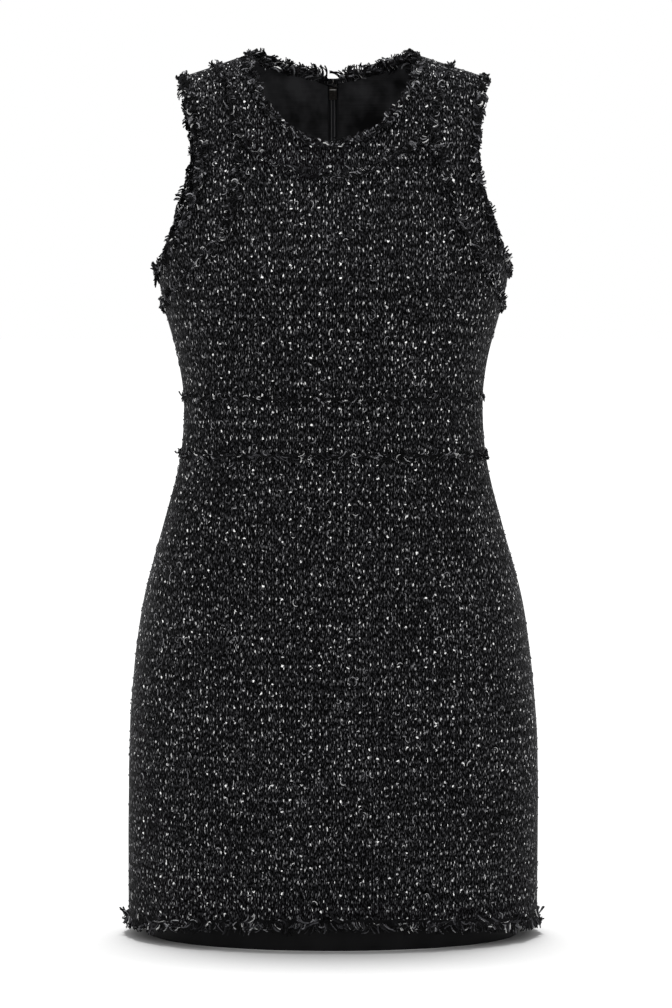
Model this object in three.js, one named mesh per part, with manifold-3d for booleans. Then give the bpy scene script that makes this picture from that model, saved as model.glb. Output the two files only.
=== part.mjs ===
// A sleeveless sheath dress in fringed tweed, filled out as if worn, with a lining and a concealed
// centre-back zip. Millimetres, +Z up, front towards -Y, wearer's left towards +X. The origin lies
// between the shoulder seams, at the height of their neck ends.
import * as THREE from "three";
import Module from "manifold-3d";
import { mergeVertices } from "three/addons/utils/BufferGeometryUtils.js";

const wasm = await Module();
wasm.setup();

// ---- Driving dimensions -------------------------------------------------------------------------

const TWEED = 2.0; // wall of the outer cloth
const LINING = 1.0; // wall of the lining
const LINING_DEPTH = 4.8; // from the tweed's outer face in to the lining's outer face
const SEAM_GAP = 0.3; // between two pieces sewn together

// Horizontal sections of the worn dress. half is the half width, front and back are the depths from
// the side seams, square swells the corners of the oval. Above z = -22 the rows run up the shoulder.
const SECTIONS = [
  { z: 12, half: 48, front: 14, back: 18, square: 0 },
  { z: 0, half: 83, front: 27, back: 34, square: 0 },
  { z: -10, half: 111.5, front: 37, back: 46, square: 0 },
  { z: -22, half: 144, front: 45, back: 57, square: 0 },
  { z: -50, half: 163, front: 60, back: 77, square: 0 },
  { z: -90, half: 169, front: 76, back: 93, square: 0.01 },
  { z: -150, half: 170, front: 98, back: 104, square: 0.03 },
  { z: -208, half: 165, front: 117, back: 102, square: 0.06 },
  { z: -240, half: 158.5, front: 121.5, back: 98, square: 0.07 },
  { z: -285, half: 146.5, front: 113, back: 90, square: 0.05 },
  { z: -325, half: 141.3, front: 100, back: 84, square: 0.03 },
  { z: -378, half: 144.5, front: 98, back: 86, square: 0.03 },
  { z: -440, half: 160, front: 104, back: 104, square: 0.03 },
  { z: -510, half: 179, front: 112, back: 126, square: 0.03 },
  { z: -580, half: 189.2, front: 118, back: 132, square: 0.03 },
  { z: -660, half: 194.2, front: 123, back: 130, square: 0.02 },
  { z: -835, half: 194.3, front: 128, back: 125, square: 0.02 },
];

// The lining hangs free of the tweed from this height down, and is narrower by this much at its hem.
const LINING_HANG = { from: -380, side: 14, front: 4.5, back: 4 };

// Edges of the cut pieces on the unrolled body: turn is in degrees from the centre of that side. The
// front is pulled a little to the wearer's left, so its right armhole stands further in.
const ARMHOLE_FRONT_LEFT = [
  { turn: 90, z: -20 },
  { turn: 65.5, z: -31 },
  { turn: 56.5, z: -53 },
  { turn: 52.8, z: -78 },
  { turn: 51.9, z: -103 },
  { turn: 54, z: -128 },
  { turn: 58, z: -149 },
  { turn: 65.3, z: -174.5 },
  { turn: 76, z: -193 },
  { turn: 90, z: -206 },
];
const ARMHOLE_FRONT_RIGHT = [
  { turn: 90, z: -20 },
  { turn: 65, z: -31 },
  { turn: 55, z: -53 },
  { turn: 49, z: -76 },
  { turn: 46, z: -97 },
  { turn: 46, z: -119 },
  { turn: 49.5, z: -142 },
  { turn: 57.5, z: -170 },
  { turn: 70, z: -192 },
  { turn: 90, z: -206 },
];
const ARMHOLE_BACK = [
  { turn: 90, z: -20 },
  { turn: 68, z: -28 },
  { turn: 58, z: -51 },
  { turn: 52.5, z: -85 },
  { turn: 55, z: -124 },
  { turn: 63, z: -163 },
  { turn: 75, z: -192 },
  { turn: 90, z: -206 },
];
const BAND_MEETING_FRONT = [
  { turn: 90, z: -9 },
  { turn: 57.5, z: -15 },
  { turn: 41.5, z: -27 },
  { turn: 36, z: -52 },
  { turn: 32.2, z: -77 },
];
const BAND_MEETING_BACK = [
  { turn: 90, z: -9 },
  { turn: 58, z: -15 },
  { turn: 44.5, z: -27 },
  { turn: 38, z: -50 },
];
const ARMHOLE_SEAM_FRONT_LEFT = [
  { turn: 32.2, z: -77 },
  { turn: 35, z: -96 },
  { turn: 38, z: -122 },
  { turn: 42.4, z: -153 },
  { turn: 49, z: -177 },
  { turn: 58, z: -203 },
  { turn: 72, z: -225 },
  { turn: 90, z: -238 },
];
const ARMHOLE_SEAM_FRONT_RIGHT = [
  { turn: 32.2, z: -77 },
  { turn: 30.2, z: -97 },
  { turn: 30, z: -122 },
  { turn: 32.5, z: -147 },
  { turn: 37.5, z: -172 },
  { turn: 46, z: -194 },
  { turn: 58, z: -214 },
  { turn: 72, z: -229 },
  { turn: 90, z: -238 },
];
const ARMHOLE_SEAM_BACK = [
  { turn: 38, z: -50 },
  { turn: 38.5, z: -92 },
  { turn: 42, z: -135 },
  { turn: 49, z: -172 },
  { turn: 60, z: -203 },
  { turn: 73, z: -225 },
  { turn: 90, z: -238 },
];
const NECK_SEAM_FRONT = [
  { turn: 32.2, z: -77 },
  { turn: 26, z: -89 },
  { turn: 15.7, z: -105 },
  { turn: 7, z: -115.5 },
  { turn: 0, z: -118 },
];
const NECK_SEAM_BACK = [
  { turn: 38, z: -50 },
  { turn: 26, z: -51.5 },
  { turn: 13, z: -52 },
  { turn: 0, z: -52 },
];

// The neck edge on each side of the dress: a super-ellipse dropping from the shoulder seams.
const NECK = { half: 78, frontDrop: 84.5, backDrop: 18.5, frontPower: 1.65, backPower: 1.15 };
const WAIST = { top: -322, bottom: -374.5 };
const HEM = { side: -814, frontRise: 10, backRise: 4 };
const LINING_HEM = -831;
const CHEST_LINE = -212; // level of the lining's underarm
const LINING_EDGE = 4; // the lining stops this far inside the neck and armhole edges

// Zip: a chain behind the centre back edges, which part over it and open to a notch at the top.
const ZIP = { skirtRows: 3, chainHalf: 2.1, tapeHalf: 6.8, parting: 0.5, notch: 4.5, notchFoot: -33 };
const LINING_PARTING = 7.5; // the lining's edges stand this far from the zip's middle
const SLIDER = { top: -22, bottom: -34.8, half: 3.6, thick: 3.4 };
const LUG = { half: 0.9, radius: 1.9, hole: 0.8, below: 2.4, stand: 3.2 };
const PULL = { length: 21, half: 3.1, thick: 1.3, pin: 0.6, arm: 1.2, fork: 1.25 };

// Segments along each stretch of edge, shared by the pieces that meet there.
const STEPS = { meeting: 5, neck: 3, armhole: 7, skirt: 8, bodice: 7, band: 2 };

// The zip ends at a row of the skirt's back.
const ZIP_FOOT =
  WAIST.bottom + ((HEM.side + HEM.backRise - WAIST.bottom) * ZIP.skirtRows) / STEPS.skirt;

// Fringe: strips sewn on the outer face, with locks of 3 sides fused into them.
const STRIP = { lift: 0.6, thick: 1.2, half: 2.0 };
const LOCK = { length: 8.0, hemLength: 14.0, root: 1.3 };
const EDGE_SETBACK = 3.0; // from a raw edge to the middle of its strip

const TWEED_LOOK = { color: 0x141416, roughness: 0.9, metalness: 0 };
const FRINGE_LOOK = { color: 0x1c1c1f, roughness: 0.95, metalness: 0 };
const LINING_LOOK = { color: 0x0c0c0e, roughness: 0.55, metalness: 0 };
const TAPE_LOOK = { color: 0x101012, roughness: 0.8, metalness: 0 };
const METAL_LOOK = { color: 0x2b2b2e, roughness: 0.35, metalness: 0.9 };

// ---- The body surface ---------------------------------------------------------------------------

const RAD = Math.PI / 180;

// Cubic through the rows of a table at height z, with slopes from the neighbouring rows.
function smooth(table, column, z) {
  const last = table.length - 1;
  let i = 0;
  while (i < last - 1 && z < table[i + 1].z) i += 1;
  const slope = (k) => {
    const a = table[Math.max(k - 1, 0)];
    const b = table[Math.min(k + 1, last)];
    return (b[column] - a[column]) / (b.z - a.z);
  };
  const from = table[i];
  const to = table[i + 1];
  const step = to.z - from.z;
  const t = Math.min(1, Math.max(0, (z - from.z) / step));
  const t2 = t * t;
  const t3 = t2 * t;
  return (
    (2 * t3 - 3 * t2 + 1) * from[column] +
    (t3 - 2 * t2 + t) * step * slope(i) +
    (3 * t2 - 2 * t3) * to[column] +
    (t3 - t2) * step * slope(i + 1)
  );
}

// A point of an oval section. turn runs from 0 at centre front through 90 at the wearer's left side
// to 180 at centre back; hang draws the lower sections in.
function ovalPoint(turn, z, hang) {
  const s = Math.sin(turn * RAD);
  const c = Math.cos(turn * RAD);
  const side = c >= 0 ? "front" : "back";
  const square = smooth(SECTIONS, "square", z);
  const share = hang ? Math.max(0, (hang.from - z) / (hang.from - LINING_HEM)) ** 1.5 : 0;
  const half = smooth(SECTIONS, "half", z) - (hang ? hang.side * share : 0);
  const depth = smooth(SECTIONS, side, z) - (hang ? hang[side] * share : 0);
  return new THREE.Vector3(half * s * (1 + square * c * c), -depth * c * (1 + square * s * s), z);
}

function bodyNormal(turn, z, hang) {
  const step = 0.5;
  const around = ovalPoint(turn + step, z, hang).sub(ovalPoint(turn - step, z, hang));
  const up = ovalPoint(turn, z + step, hang).sub(ovalPoint(turn, z - step, hang));
  return around.cross(up).normalize();
}

// The point of the body surface at a place, moved out by lift along its normal.
function onBody({ turn, z }, lift = 0, hang = null) {
  return ovalPoint(turn, z, hang).addScaledVector(bodyNormal(turn, z, hang), lift);
}

// ---- Edges on the unrolled body -----------------------------------------------------------------

const blend = (a, b, t) => ({ turn: a.turn + t * (b.turn - a.turn), z: a.z + t * (b.z - a.z) });

// n + 1 places along curve, a function from 0..1 to a place. Their spacing is even for ease = 1 and
// closer at the start for a larger ease.
function spaced(curve, n, ease = 1) {
  const fine = 240;
  const places = Array.from({ length: fine + 1 }, (_, i) => curve(i / fine));
  const points = places.map((p) => onBody(p));
  const run = [0];
  for (let i = 1; i <= fine; i += 1) run.push(run[i - 1] + points[i].distanceTo(points[i - 1]));
  return Array.from({ length: n + 1 }, (_, k) => {
    const want = run[fine] * (k / n) ** ease;
    let i = 0;
    while (i < fine - 1 && run[i + 1] < want) i += 1;
    return blend(places[i], places[i + 1], (want - run[i]) / (run[i + 1] - run[i]));
  });
}

// A smooth curve through the rows of an edge table, as n + 1 places.
function edge(rows, n, ease = 1) {
  const stretch = 1.6; // millimetres of cloth for a degree of turn, which keeps the spline even
  const spline = new THREE.CatmullRomCurve3(
    rows.map((r) => new THREE.Vector3(r.turn * stretch, r.z, 0)),
    false,
    "centripetal",
  );
  const at = (t) => {
    const p = spline.getPoint(t);
    return { turn: p.x / stretch, z: p.y };
  };
  return spaced(at, n, ease);
}

// The turn at which a section's half-width comes to x.
function turnAt(x, z) {
  const half = smooth(SECTIONS, "half", z);
  const square = smooth(SECTIONS, "square", z);
  let s = Math.min(1, x / half);
  for (let i = 0; i < 6; i += 1) s = Math.min(1, x / half / (1 + square * (1 - s * s)));
  return Math.asin(s) / RAD;
}

// Height of the shoulder seam at a distance x from the middle.
function ridge(x) {
  let z = 0;
  for (let i = 0; i < 20; i += 1) z -= (x - smooth(SECTIONS, "half", z)) / 3;
  return z;
}

// The neck edge from the shoulder seam to the centre, grown outwards by grow.
function neckline(drop, power, grow, n) {
  const half = NECK.half + grow;
  const top = ridge(half);
  const foot = -drop - grow * 0.9;
  const at = (t) => {
    const a = (t * Math.PI) / 2;
    const x = half * Math.cos(a) ** (2 / power);
    const z = top + (foot - top) * Math.sin(a) ** (2 / power);
    if (t === 0 || t === 1) return { turn: t ? 0 : 90, z };
    return { turn: turnAt(x, z), z };
  };
  return spaced(at, n, 1.35);
}

const level = (z, n) => spaced((t) => ({ turn: 90 - 90 * t, z }), n);
const hemEdge = (rise, n) =>
  spaced((t) => ({ turn: 90 - 90 * t, z: HEM.side + rise * Math.sin(90 * t * RAD) ** 2 }), n);

const mirror = (places) => places.map((p) => ({ turn: -p.turn, z: p.z }));
const toBack = (places) => places.map((p) => ({ turn: 180 - p.turn, z: p.z }));
const reversed = (places) => [...places].reverse();
const joined = (...runs) => runs.flatMap((run, i) => (i ? run.slice(1) : run));
// From the wearer's right shoulder or side, across the centre, to the left.
const across = (left, right = left) => joined(mirror(right), reversed(left));

// The place moved towards another by a distance in millimetres.
function towards(place, other, distance) {
  return blend(place, other, distance / onBody(place).distanceTo(onBody(other)));
}

// A run with its ends moved in along it.
function shortened(places, atStart, atEnd) {
  const n = places.length - 1;
  const first = towards(places[0], places[1], atStart);
  return [first, ...places.slice(1, n), towards(places[n], places[n - 1], atEnd)];
}

function resampled(places, n) {
  const steps = places.length - 1;
  return Array.from({ length: n + 1 }, (_, k) => {
    const where = (k / n) * steps;
    const i = Math.min(steps - 1, Math.floor(where));
    return blend(places[i], places[i + 1], where - i);
  });
}

// ---- Walls --------------------------------------------------------------------------------------

// A grid of places between two edges, rows from the first edge to the second.
function between(first, second, rows) {
  return Array.from({ length: rows + 1 }, (_, j) =>
    first.map((p, i) => blend(p, second[i], j / rows)),
  );
}

// A grid with its borders drawn in, so that it stands clear of the pieces sewn to it. end may be a
// function of height.
function drawnIn(grid, { first, second, start, end }) {
  const last = grid.length - 1;
  const rows = grid.map((row) => {
    const n = row.length - 1;
    return shortened(row, start, end instanceof Function ? end(row[n].z) : end);
  });
  const top = rows[0].map((p, i) => towards(p, rows[1][i], first));
  const foot = rows[last].map((p, i) => towards(p, rows[last - 1][i], second));
  return [top, ...rows.slice(1, last), foot];
}

// A closed solid over patches of points. A patch has an outer and an inner grid; patches that share
// points are joined, and every free border is closed by a rim.
function solidOver(patches) {
  const outer = [];
  const inner = [];
  const known = new Map();
  const index = (p, q) => {
    const key = p.toArray().map((v) => v.toFixed(3)).join();
    if (!known.has(key)) {
      known.set(key, outer.length);
      outer.push(p);
      inner.push(q);
    }
    return known.get(key);
  };
  const triangles = [];
  for (const patch of patches) {
    const ids = patch.outer.map((row, j) => row.map((p, i) => index(p, patch.inner[j][i])));
    for (let j = 0; j + 1 < ids.length; j += 1)
      for (let i = 0; i + 1 < ids[j].length; i += 1) {
        triangles.push([ids[j][i], ids[j][i + 1], ids[j + 1][i + 1]]);
        triangles.push([ids[j][i], ids[j + 1][i + 1], ids[j + 1][i]]);
      }
  }
  const count = outer.length;
  const edges = new Set(triangles.flatMap(([a, b, c]) => [`${a},${b}`, `${b},${c}`, `${c},${a}`]));
  const faces = triangles.flatMap(([a, b, c]) => [a, b, c, count + a, count + c, count + b]);
  for (const item of edges) {
    const [a, b] = item.split(",").map(Number);
    if (!edges.has(`${b},${a}`)) faces.push(b, a, count + a, b, count + a, count + b);
  }
  const points = [...outer, ...inner];
  return facingOut(new Float32Array(points.flatMap((p) => p.toArray())), new Uint32Array(faces));
}

// The geometry of a triangle list, turned round if its faces point in.
function facingOut(positions, faces) {
  const p = (k) => new THREE.Vector3().fromArray(positions, faces[k] * 3);
  let volume = 0;
  for (let k = 0; k < faces.length; k += 3) volume += p(k).dot(p(k + 1).cross(p(k + 2)));
  if (volume < 0)
    for (let k = 0; k < faces.length; k += 3)
      [faces[k + 1], faces[k + 2]] = [faces[k + 2], faces[k + 1]];
  return new THREE.BufferGeometry()
    .setAttribute("position", new THREE.BufferAttribute(positions, 3))
    .setIndex(new THREE.BufferAttribute(faces, 1));
}

// A cloth wall over grids of places, from depth below the outer face down through its thickness.
function wall(grids, { depth = 0, thick = TWEED, hang = null } = {}) {
  const points = (grid, at) => grid.map((row) => row.map((p) => onBody(p, -at, hang)));
  return solidOver(
    grids.map((grid) => ({ outer: points(grid, depth), inner: points(grid, depth + thick) })),
  );
}

const SEWN = SEAM_GAP / 2;

// How far a back edge stands from the centre line: a fine parting over the zip, a notch above it
// and a plain seam below.
function backEdge(z) {
  if (z < ZIP_FOOT - 1) return SEWN;
  const share = (z - ZIP.notchFoot) / (-NECK.backDrop - ZIP.notchFoot);
  return ZIP.parting + ZIP.notch * Math.max(0, share);
}

// ---- Solids that are joined or cut --------------------------------------------------------------

function solid(geometry) {
  const bare = geometry.index ? geometry.toNonIndexed() : geometry.clone();
  bare.deleteAttribute("normal");
  bare.deleteAttribute("uv");
  const merged = mergeVertices(bare, 1e-4);
  return new wasm.Manifold(
    new wasm.Mesh({
      numProp: 3,
      vertProperties: merged.attributes.position.array,
      triVerts: new Uint32Array(merged.index.array),
    }),
  );
}

function geometryOf(manifold) {
  const m = manifold.getMesh();
  return new THREE.BufferGeometry()
    .setAttribute("position", new THREE.BufferAttribute(new Float32Array(m.vertProperties), 3))
    .setIndex(new THREE.BufferAttribute(new Uint32Array(m.triVerts), 1));
}

// ---- Fringe -------------------------------------------------------------------------------------

// A repeatable number from 0 to 1.
function scatter(k) {
  const s = Math.sin(k * 12.9898 + 4.1414) * 43758.5453;
  return s - Math.floor(s);
}

// Frames along a run of places: the point, the way along, the outward normal and the way off the
// run, to its left for side = 1 and to its right for side = -1.
function framesAlong(places, side, loop) {
  const n = places.length;
  const points = places.map((p) => onBody(p));
  return places.map((p, i) => {
    const before = points[loop ? (i + n - 1) % n : Math.max(i - 1, 0)];
    const after = points[loop ? (i + 1) % n : Math.min(i + 1, n - 1)];
    const along = after.clone().sub(before).normalize();
    const out = bodyNormal(p.turn, p.z);
    const off = out.clone().cross(along).multiplyScalar(side).normalize();
    return { at: points[i], along, out, off };
  });
}

// A lock of 3 sides that tapers from its root to its tip.
function lock(root, tip) {
  const along = tip.clone().sub(root).normalize();
  const helper = Math.abs(along.z) < 0.9 ? new THREE.Vector3(0, 0, 1) : new THREE.Vector3(1, 0, 0);
  const u = along.clone().cross(helper).normalize();
  const v = along.clone().cross(u);
  const points = [0, 1, 2].map((k) => {
    const a = (k * 2 * Math.PI) / 3;
    const point = root.clone().addScaledVector(u, LOCK.root * Math.cos(a));
    return point.addScaledVector(v, LOCK.root * Math.sin(a));
  });
  points.push(tip);
  const faces = new Uint32Array([0, 2, 1, 0, 1, 3, 1, 2, 3, 2, 0, 3]);
  return facingOut(new Float32Array(points.flatMap((p) => p.toArray())), faces);
}

// A sewn strip along a run, its middle moved off the run by shift, with locks fused into it. lean is
// the locks' share of the way off the run; alternate throws every other lock back.
function fringe(places, options) {
  const { side = 1, shift = 0, locks, long = LOCK.length } = options;
  const { loop = false, lean = 1, alternate = false } = options;
  const frames = framesAlong(places, side, loop);
  const line = (offset, lift) =>
    frames.map((f) => {
      const point = f.at.clone().addScaledVector(f.off, shift + offset);
      return point.addScaledVector(f.out, lift);
    });
  const low = STRIP.lift;
  const high = STRIP.lift + STRIP.thick;
  const closed = (run) => (loop ? [...run, run[0]] : run);
  const rows = (lift) => [closed(line(-STRIP.half, lift)), closed(line(STRIP.half, lift))];
  const parts = [solid(solidOver([{ outer: rows(high), inner: rows(low) }]))];
  const spans = loop ? frames.length : frames.length - 1;
  for (let k = 0; k < locks; k += 1) {
    const where = ((k + 0.5) / locks) * spans;
    const i = Math.floor(where);
    const a = frames[i];
    const b = frames[(i + 1) % frames.length];
    const mix = (key) => a[key].clone().lerp(b[key], where - i);
    const seed = k + locks * 7;
    const way = alternate && k % 2 ? -1 : 1;
    const direction = mix("off")
      .multiplyScalar(lean * way)
      .addScaledVector(mix("along"), (scatter(seed) - 0.5) * 0.9)
      .addScaledVector(mix("out"), 0.28 + 0.35 * scatter(seed + 0.37))
      .normalize();
    const root = mix("at")
      .addScaledVector(mix("off"), shift + STRIP.half * 0.3 * way)
      .addScaledVector(mix("out"), (low + high) / 2 + 0.25);
    const reach = long * (0.75 + 0.35 * scatter(seed + 0.71));
    parts.push(solid(lock(root, root.clone().addScaledVector(direction, reach))));
  }
  return geometryOf(parts.reduce((sum, part) => sum.add(part)));
}

// ---- Cut edges ----------------------------------------------------------------------------------

const S = STEPS;
const FROM_SHOULDER = 1.5; // spacing is closer over the rounded shoulder

function cutEdges(drop, power, tables) {
  const neck = neckline(drop, power, 0, S.meeting + S.neck);
  const meeting = edge(tables.meeting, S.meeting, FROM_SHOULDER);
  const neckSeam = edge(tables.neckSeam, S.neck);
  const armholeSeam = edge(tables.armholeSeam, S.armhole);
  return {
    neck,
    neckInner: neckline(drop, power, LINING_EDGE, S.meeting + S.neck),
    armhole: edge(tables.armhole, S.meeting + S.armhole, 1.2),
    meeting,
    armholeSeam,
    neckBand: joined(meeting, neckSeam), // shoulder to centre
    armholeBand: joined(meeting, armholeSeam), // shoulder to side seam
    bodiceTop: joined(reversed(armholeSeam), neckSeam), // side seam to centre
  };
}

const frontEdges = (armhole, armholeSeam) =>
  cutEdges(NECK.frontDrop, NECK.frontPower, {
    armhole,
    armholeSeam,
    meeting: BAND_MEETING_FRONT,
    neckSeam: NECK_SEAM_FRONT,
  });
const front = {
  left: frontEdges(ARMHOLE_FRONT_LEFT, ARMHOLE_SEAM_FRONT_LEFT),
  right: frontEdges(ARMHOLE_FRONT_RIGHT, ARMHOLE_SEAM_FRONT_RIGHT),
};
const back = cutEdges(NECK.backDrop, NECK.backPower, {
  armhole: ARMHOLE_BACK,
  meeting: BAND_MEETING_BACK,
  armholeSeam: ARMHOLE_SEAM_BACK,
  neckSeam: NECK_SEAM_BACK,
});
const AROUND = S.neck + S.armhole; // columns from side seam to centre
const waistTop = level(WAIST.top, AROUND);
const waistFoot = level(WAIST.bottom, AROUND);
const hemFront = hemEdge(HEM.frontRise, AROUND);
const hemBack = hemEdge(HEM.backRise, AROUND);

// ---- Pieces -------------------------------------------------------------------------------------

const dress = new THREE.Group();

function add(name, geometry, look) {
  const mesh = new THREE.Mesh(geometry, new THREE.MeshStandardMaterial(look));
  mesh.name = name;
  dress.add(mesh);
}

const HANDS = [
  { hand: "left", flip: (places) => places, way: 1 },
  { hand: "right", flip: mirror, way: -1 },
];
const GAPS = { first: SEWN, second: SEWN, start: SEWN, end: SEWN };

// A front piece between two edges that run across the dress.
function addFrontPiece(name, first, second, rows, gaps = {}) {
  const grid = drawnIn(between(first, second, rows), { ...GAPS, ...gaps });
  add(name, wall([grid]), TWEED_LOOK);
}

// A back piece and its mirror image: edges run from the side or shoulder to the centre back.
function addBackPair(name, first, second, rows, gaps = {}) {
  const grid = drawnIn(between(toBack(first), toBack(second), rows), {
    ...GAPS,
    end: backEdge,
    ...gaps,
  });
  add(`${name}_left`, wall([grid]), TWEED_LOOK);
  add(`${name}_right`, wall([grid.map(mirror)]), TWEED_LOOK);
}

function addBands() {
  const raw = { first: 0 };
  const { neck, neckBand } = front.left;
  addFrontPiece("neck_band_front", across(neck), across(neckBand), S.band, raw);
  addBackPair("neck_band_back", back.neck, back.neckBand, S.band, raw);
  const behind = drawnIn(between(toBack(back.armhole), toBack(back.armholeBand), S.band), {
    ...GAPS,
    ...raw,
  });
  for (const { hand, flip } of HANDS) {
    const { armhole, armholeBand } = front[hand];
    const ahead = drawnIn(between(armhole, armholeBand, S.band), { ...GAPS, ...raw });
    add(`armhole_band_front_${hand}`, wall([ahead.map(flip)]), TWEED_LOOK);
    add(`armhole_band_back_${hand}`, wall([behind.map(flip)]), TWEED_LOOK);
  }
}

function addBody() {
  const chest = across(front.left.bodiceTop, front.right.bodiceTop);
  addFrontPiece("bodice_front", chest, across(waistTop), S.bodice);
  addBackPair("bodice_back", back.bodiceTop, waistTop, S.bodice);
  addFrontPiece("waistband_front", across(waistTop), across(waistFoot), S.band);
  addBackPair("waistband_back", waistTop, waistFoot, S.band);
  addFrontPiece("skirt_front", across(waistFoot), across(hemFront), S.skirt, { second: 0 });
  addBackPair("skirt_back", waistFoot, hemBack, S.skirt, { second: 0 });
}

// Half of a lining piece as two grids: a yoke that fans from the neck edge out to the armhole and
// the chest line, and a body from the chest line to the lining's own hem. centre is the gap left at
// the centre, as a function of height.
function liningHalf(side, centre) {
  const underarm = CHEST_LINE - LINING_EDGE;
  const levels = [
    underarm,
    -235,
    -264,
    -293,
    WAIST.top,
    WAIST.bottom,
    -429,
    -483,
    ZIP_FOOT,
    -620,
    -720,
    LINING_HEM,
  ];
  const rows = levels.map((z) => shortened(level(z, AROUND), SEWN, centre(z)));
  const hole = side.armhole.slice(0, -1).map((p, i) => {
    const share = i / (side.armhole.length - 1);
    return { turn: p.turn - 2.4 * Math.sin(Math.PI * share), z: p.z - LINING_EDGE * share };
  });
  const outer = [...hole, ...rows[0]];
  const fan = outer.length - 1 - S.meeting;
  const edgeOfNeck = shortened(side.neckInner, 0, centre(side.neckInner.at(-1).z));
  const neck = joined(
    edgeOfNeck.slice(0, S.meeting + 1),
    resampled(edgeOfNeck.slice(S.meeting), fan),
  );
  const middle = joined(
    side.meeting,
    outer.slice(S.meeting).map((p, i) => blend(neck[S.meeting + i], p, 0.45)),
  );
  const low = middle.map((p, i) => blend(p, outer[i], 0.5));
  const yoke = [neck, middle, low, outer].map((row) => shortened(row, SEWN, 0));
  return [yoke, rows];
}

function addLining() {
  const options = { depth: LINING_DEPTH, thick: LINING, hang: LINING_HANG };
  const onLeft = liningHalf(front.left, () => 0);
  const onRight = liningHalf(front.right, () => 0);
  const turned = onRight.map((grid) => grid.map((row) => reversed(mirror(row))));
  add("lining_front", wall([...onLeft, ...turned], options), LINING_LOOK);
  const parting = (z) => (z > ZIP_FOOT - 1 ? LINING_PARTING : SEWN);
  const rear = liningHalf(back, parting).map((grid) => grid.map(toBack));
  add("lining_back_left", wall(rear, options), LINING_LOOK);
  add("lining_back_right", wall(rear.map((grid) => grid.map(mirror)), options), LINING_LOOK);
}

function addFringes() {
  const trim = (name, places, options) =>
    add(`fringe_${name}`, fringe(places, options), FRINGE_LOOK);
  const atEdge = { shift: -EDGE_SETBACK };
  const seamed = (places) => shortened(places, 1.2, 1.2);
  trim("neck_front", seamed(across(front.left.neck)), { ...atEdge, side: 1, locks: 16 });
  trim("neck_seam_front", seamed(across(front.left.neckBand)), { side: 1, locks: 15, lean: 0.8 });
  for (const { hand, flip, way } of HANDS) {
    const neck = flip(shortened(toBack(back.neck), 1.2, 6));
    trim(`neck_back_${hand}`, neck, { ...atEdge, side: way, locks: 6 });
    const neckSeam = flip(shortened(toBack(back.neckBand), 1.2, 1.2));
    trim(`neck_seam_back_${hand}`, neckSeam, { side: -way, locks: 6, lean: 0.8 });
    const ahead = front[hand];
    const hole = flip(joined(ahead.armhole, reversed(toBack(back.armhole))).slice(0, -1));
    trim(`armhole_${hand}`, hole, { ...atEdge, side: way, locks: 18, loop: true });
    const seam = flip(joined(ahead.armholeSeam, reversed(toBack(back.armholeSeam))));
    const clear = { side: way, locks: 9, lean: 0.8 };
    trim(`armhole_seam_${hand}`, shortened(seam, 7, 5), clear);
  }
  const ring = (ahead, behind) =>
    joined(
      reversed(ahead),
      reversed(toBack(reversed(behind))),
      mirror(toBack(reversed(behind))),
      mirror(ahead),
    ).slice(0, -1);
  const upper = ring(waistTop, waistTop);
  trim("waist_upper", upper, { side: 1, locks: 20, loop: true, alternate: true, lean: 0.8 });
  trim("waist_lower", ring(waistFoot, waistFoot), { side: -1, locks: 20, loop: true, lean: 0.9 });
  trim("hem", ring(hemFront, hemBack), {
    ...atEdge,
    side: -1,
    locks: 32,
    loop: true,
    long: LOCK.hemLength,
  });
}

// ---- Zip ----------------------------------------------------------------------------------------

function addZip() {
  // The zip follows the rows of the back pieces at the centre.
  const rowsOf = (from, to, n) => Array.from({ length: n }, (_, k) => from + ((to - from) * k) / n);
  const neckSeam = back.neckBand.at(-1).z;
  const hem = hemBack.at(-1).z;
  const heights = [
    SLIDER.bottom - 0.5,
    ...rowsOf(neckSeam, WAIST.top, S.bodice),
    ...rowsOf(WAIST.top, WAIST.bottom, S.band),
    ...rowsOf(WAIST.bottom, hem, S.skirt).slice(0, ZIP.skirtRows),
    ZIP_FOOT,
  ];
  const strip = (from, to, depth, thick) => {
    const grid = (at) =>
      heights.map((z) => {
        const p = onBody({ turn: 180, z }, -at);
        return [new THREE.Vector3(from, p.y, p.z), new THREE.Vector3(to, p.y, p.z)];
      });
    return solidOver([{ outer: grid(depth), inner: grid(depth + thick) }]);
  };
  const under = TWEED + 1.1;
  const inner = ZIP.chainHalf + SEWN;
  add("zip_tape_left", strip(inner, ZIP.tapeHalf, under, 0.8), TAPE_LOOK);
  add("zip_tape_right", strip(-ZIP.tapeHalf, -inner, under, 0.8), TAPE_LOOK);
  add("zip_chain", strip(-ZIP.chainHalf, ZIP.chainHalf, under, 1.5), TAPE_LOOK);
  addSlider(under);
}

function block(halfX, y0, y1, z0, z1) {
  const box = new THREE.BoxGeometry(2 * halfX, y1 - y0, z1 - z0);
  return solid(box.translate(0, (y0 + y1) / 2, (z0 + z1) / 2));
}

function rod(radius, half, y, z) {
  const round = new THREE.CylinderGeometry(radius, radius, 2 * half, 12);
  return solid(round.rotateZ(Math.PI / 2).translate(0, y, z));
}

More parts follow.
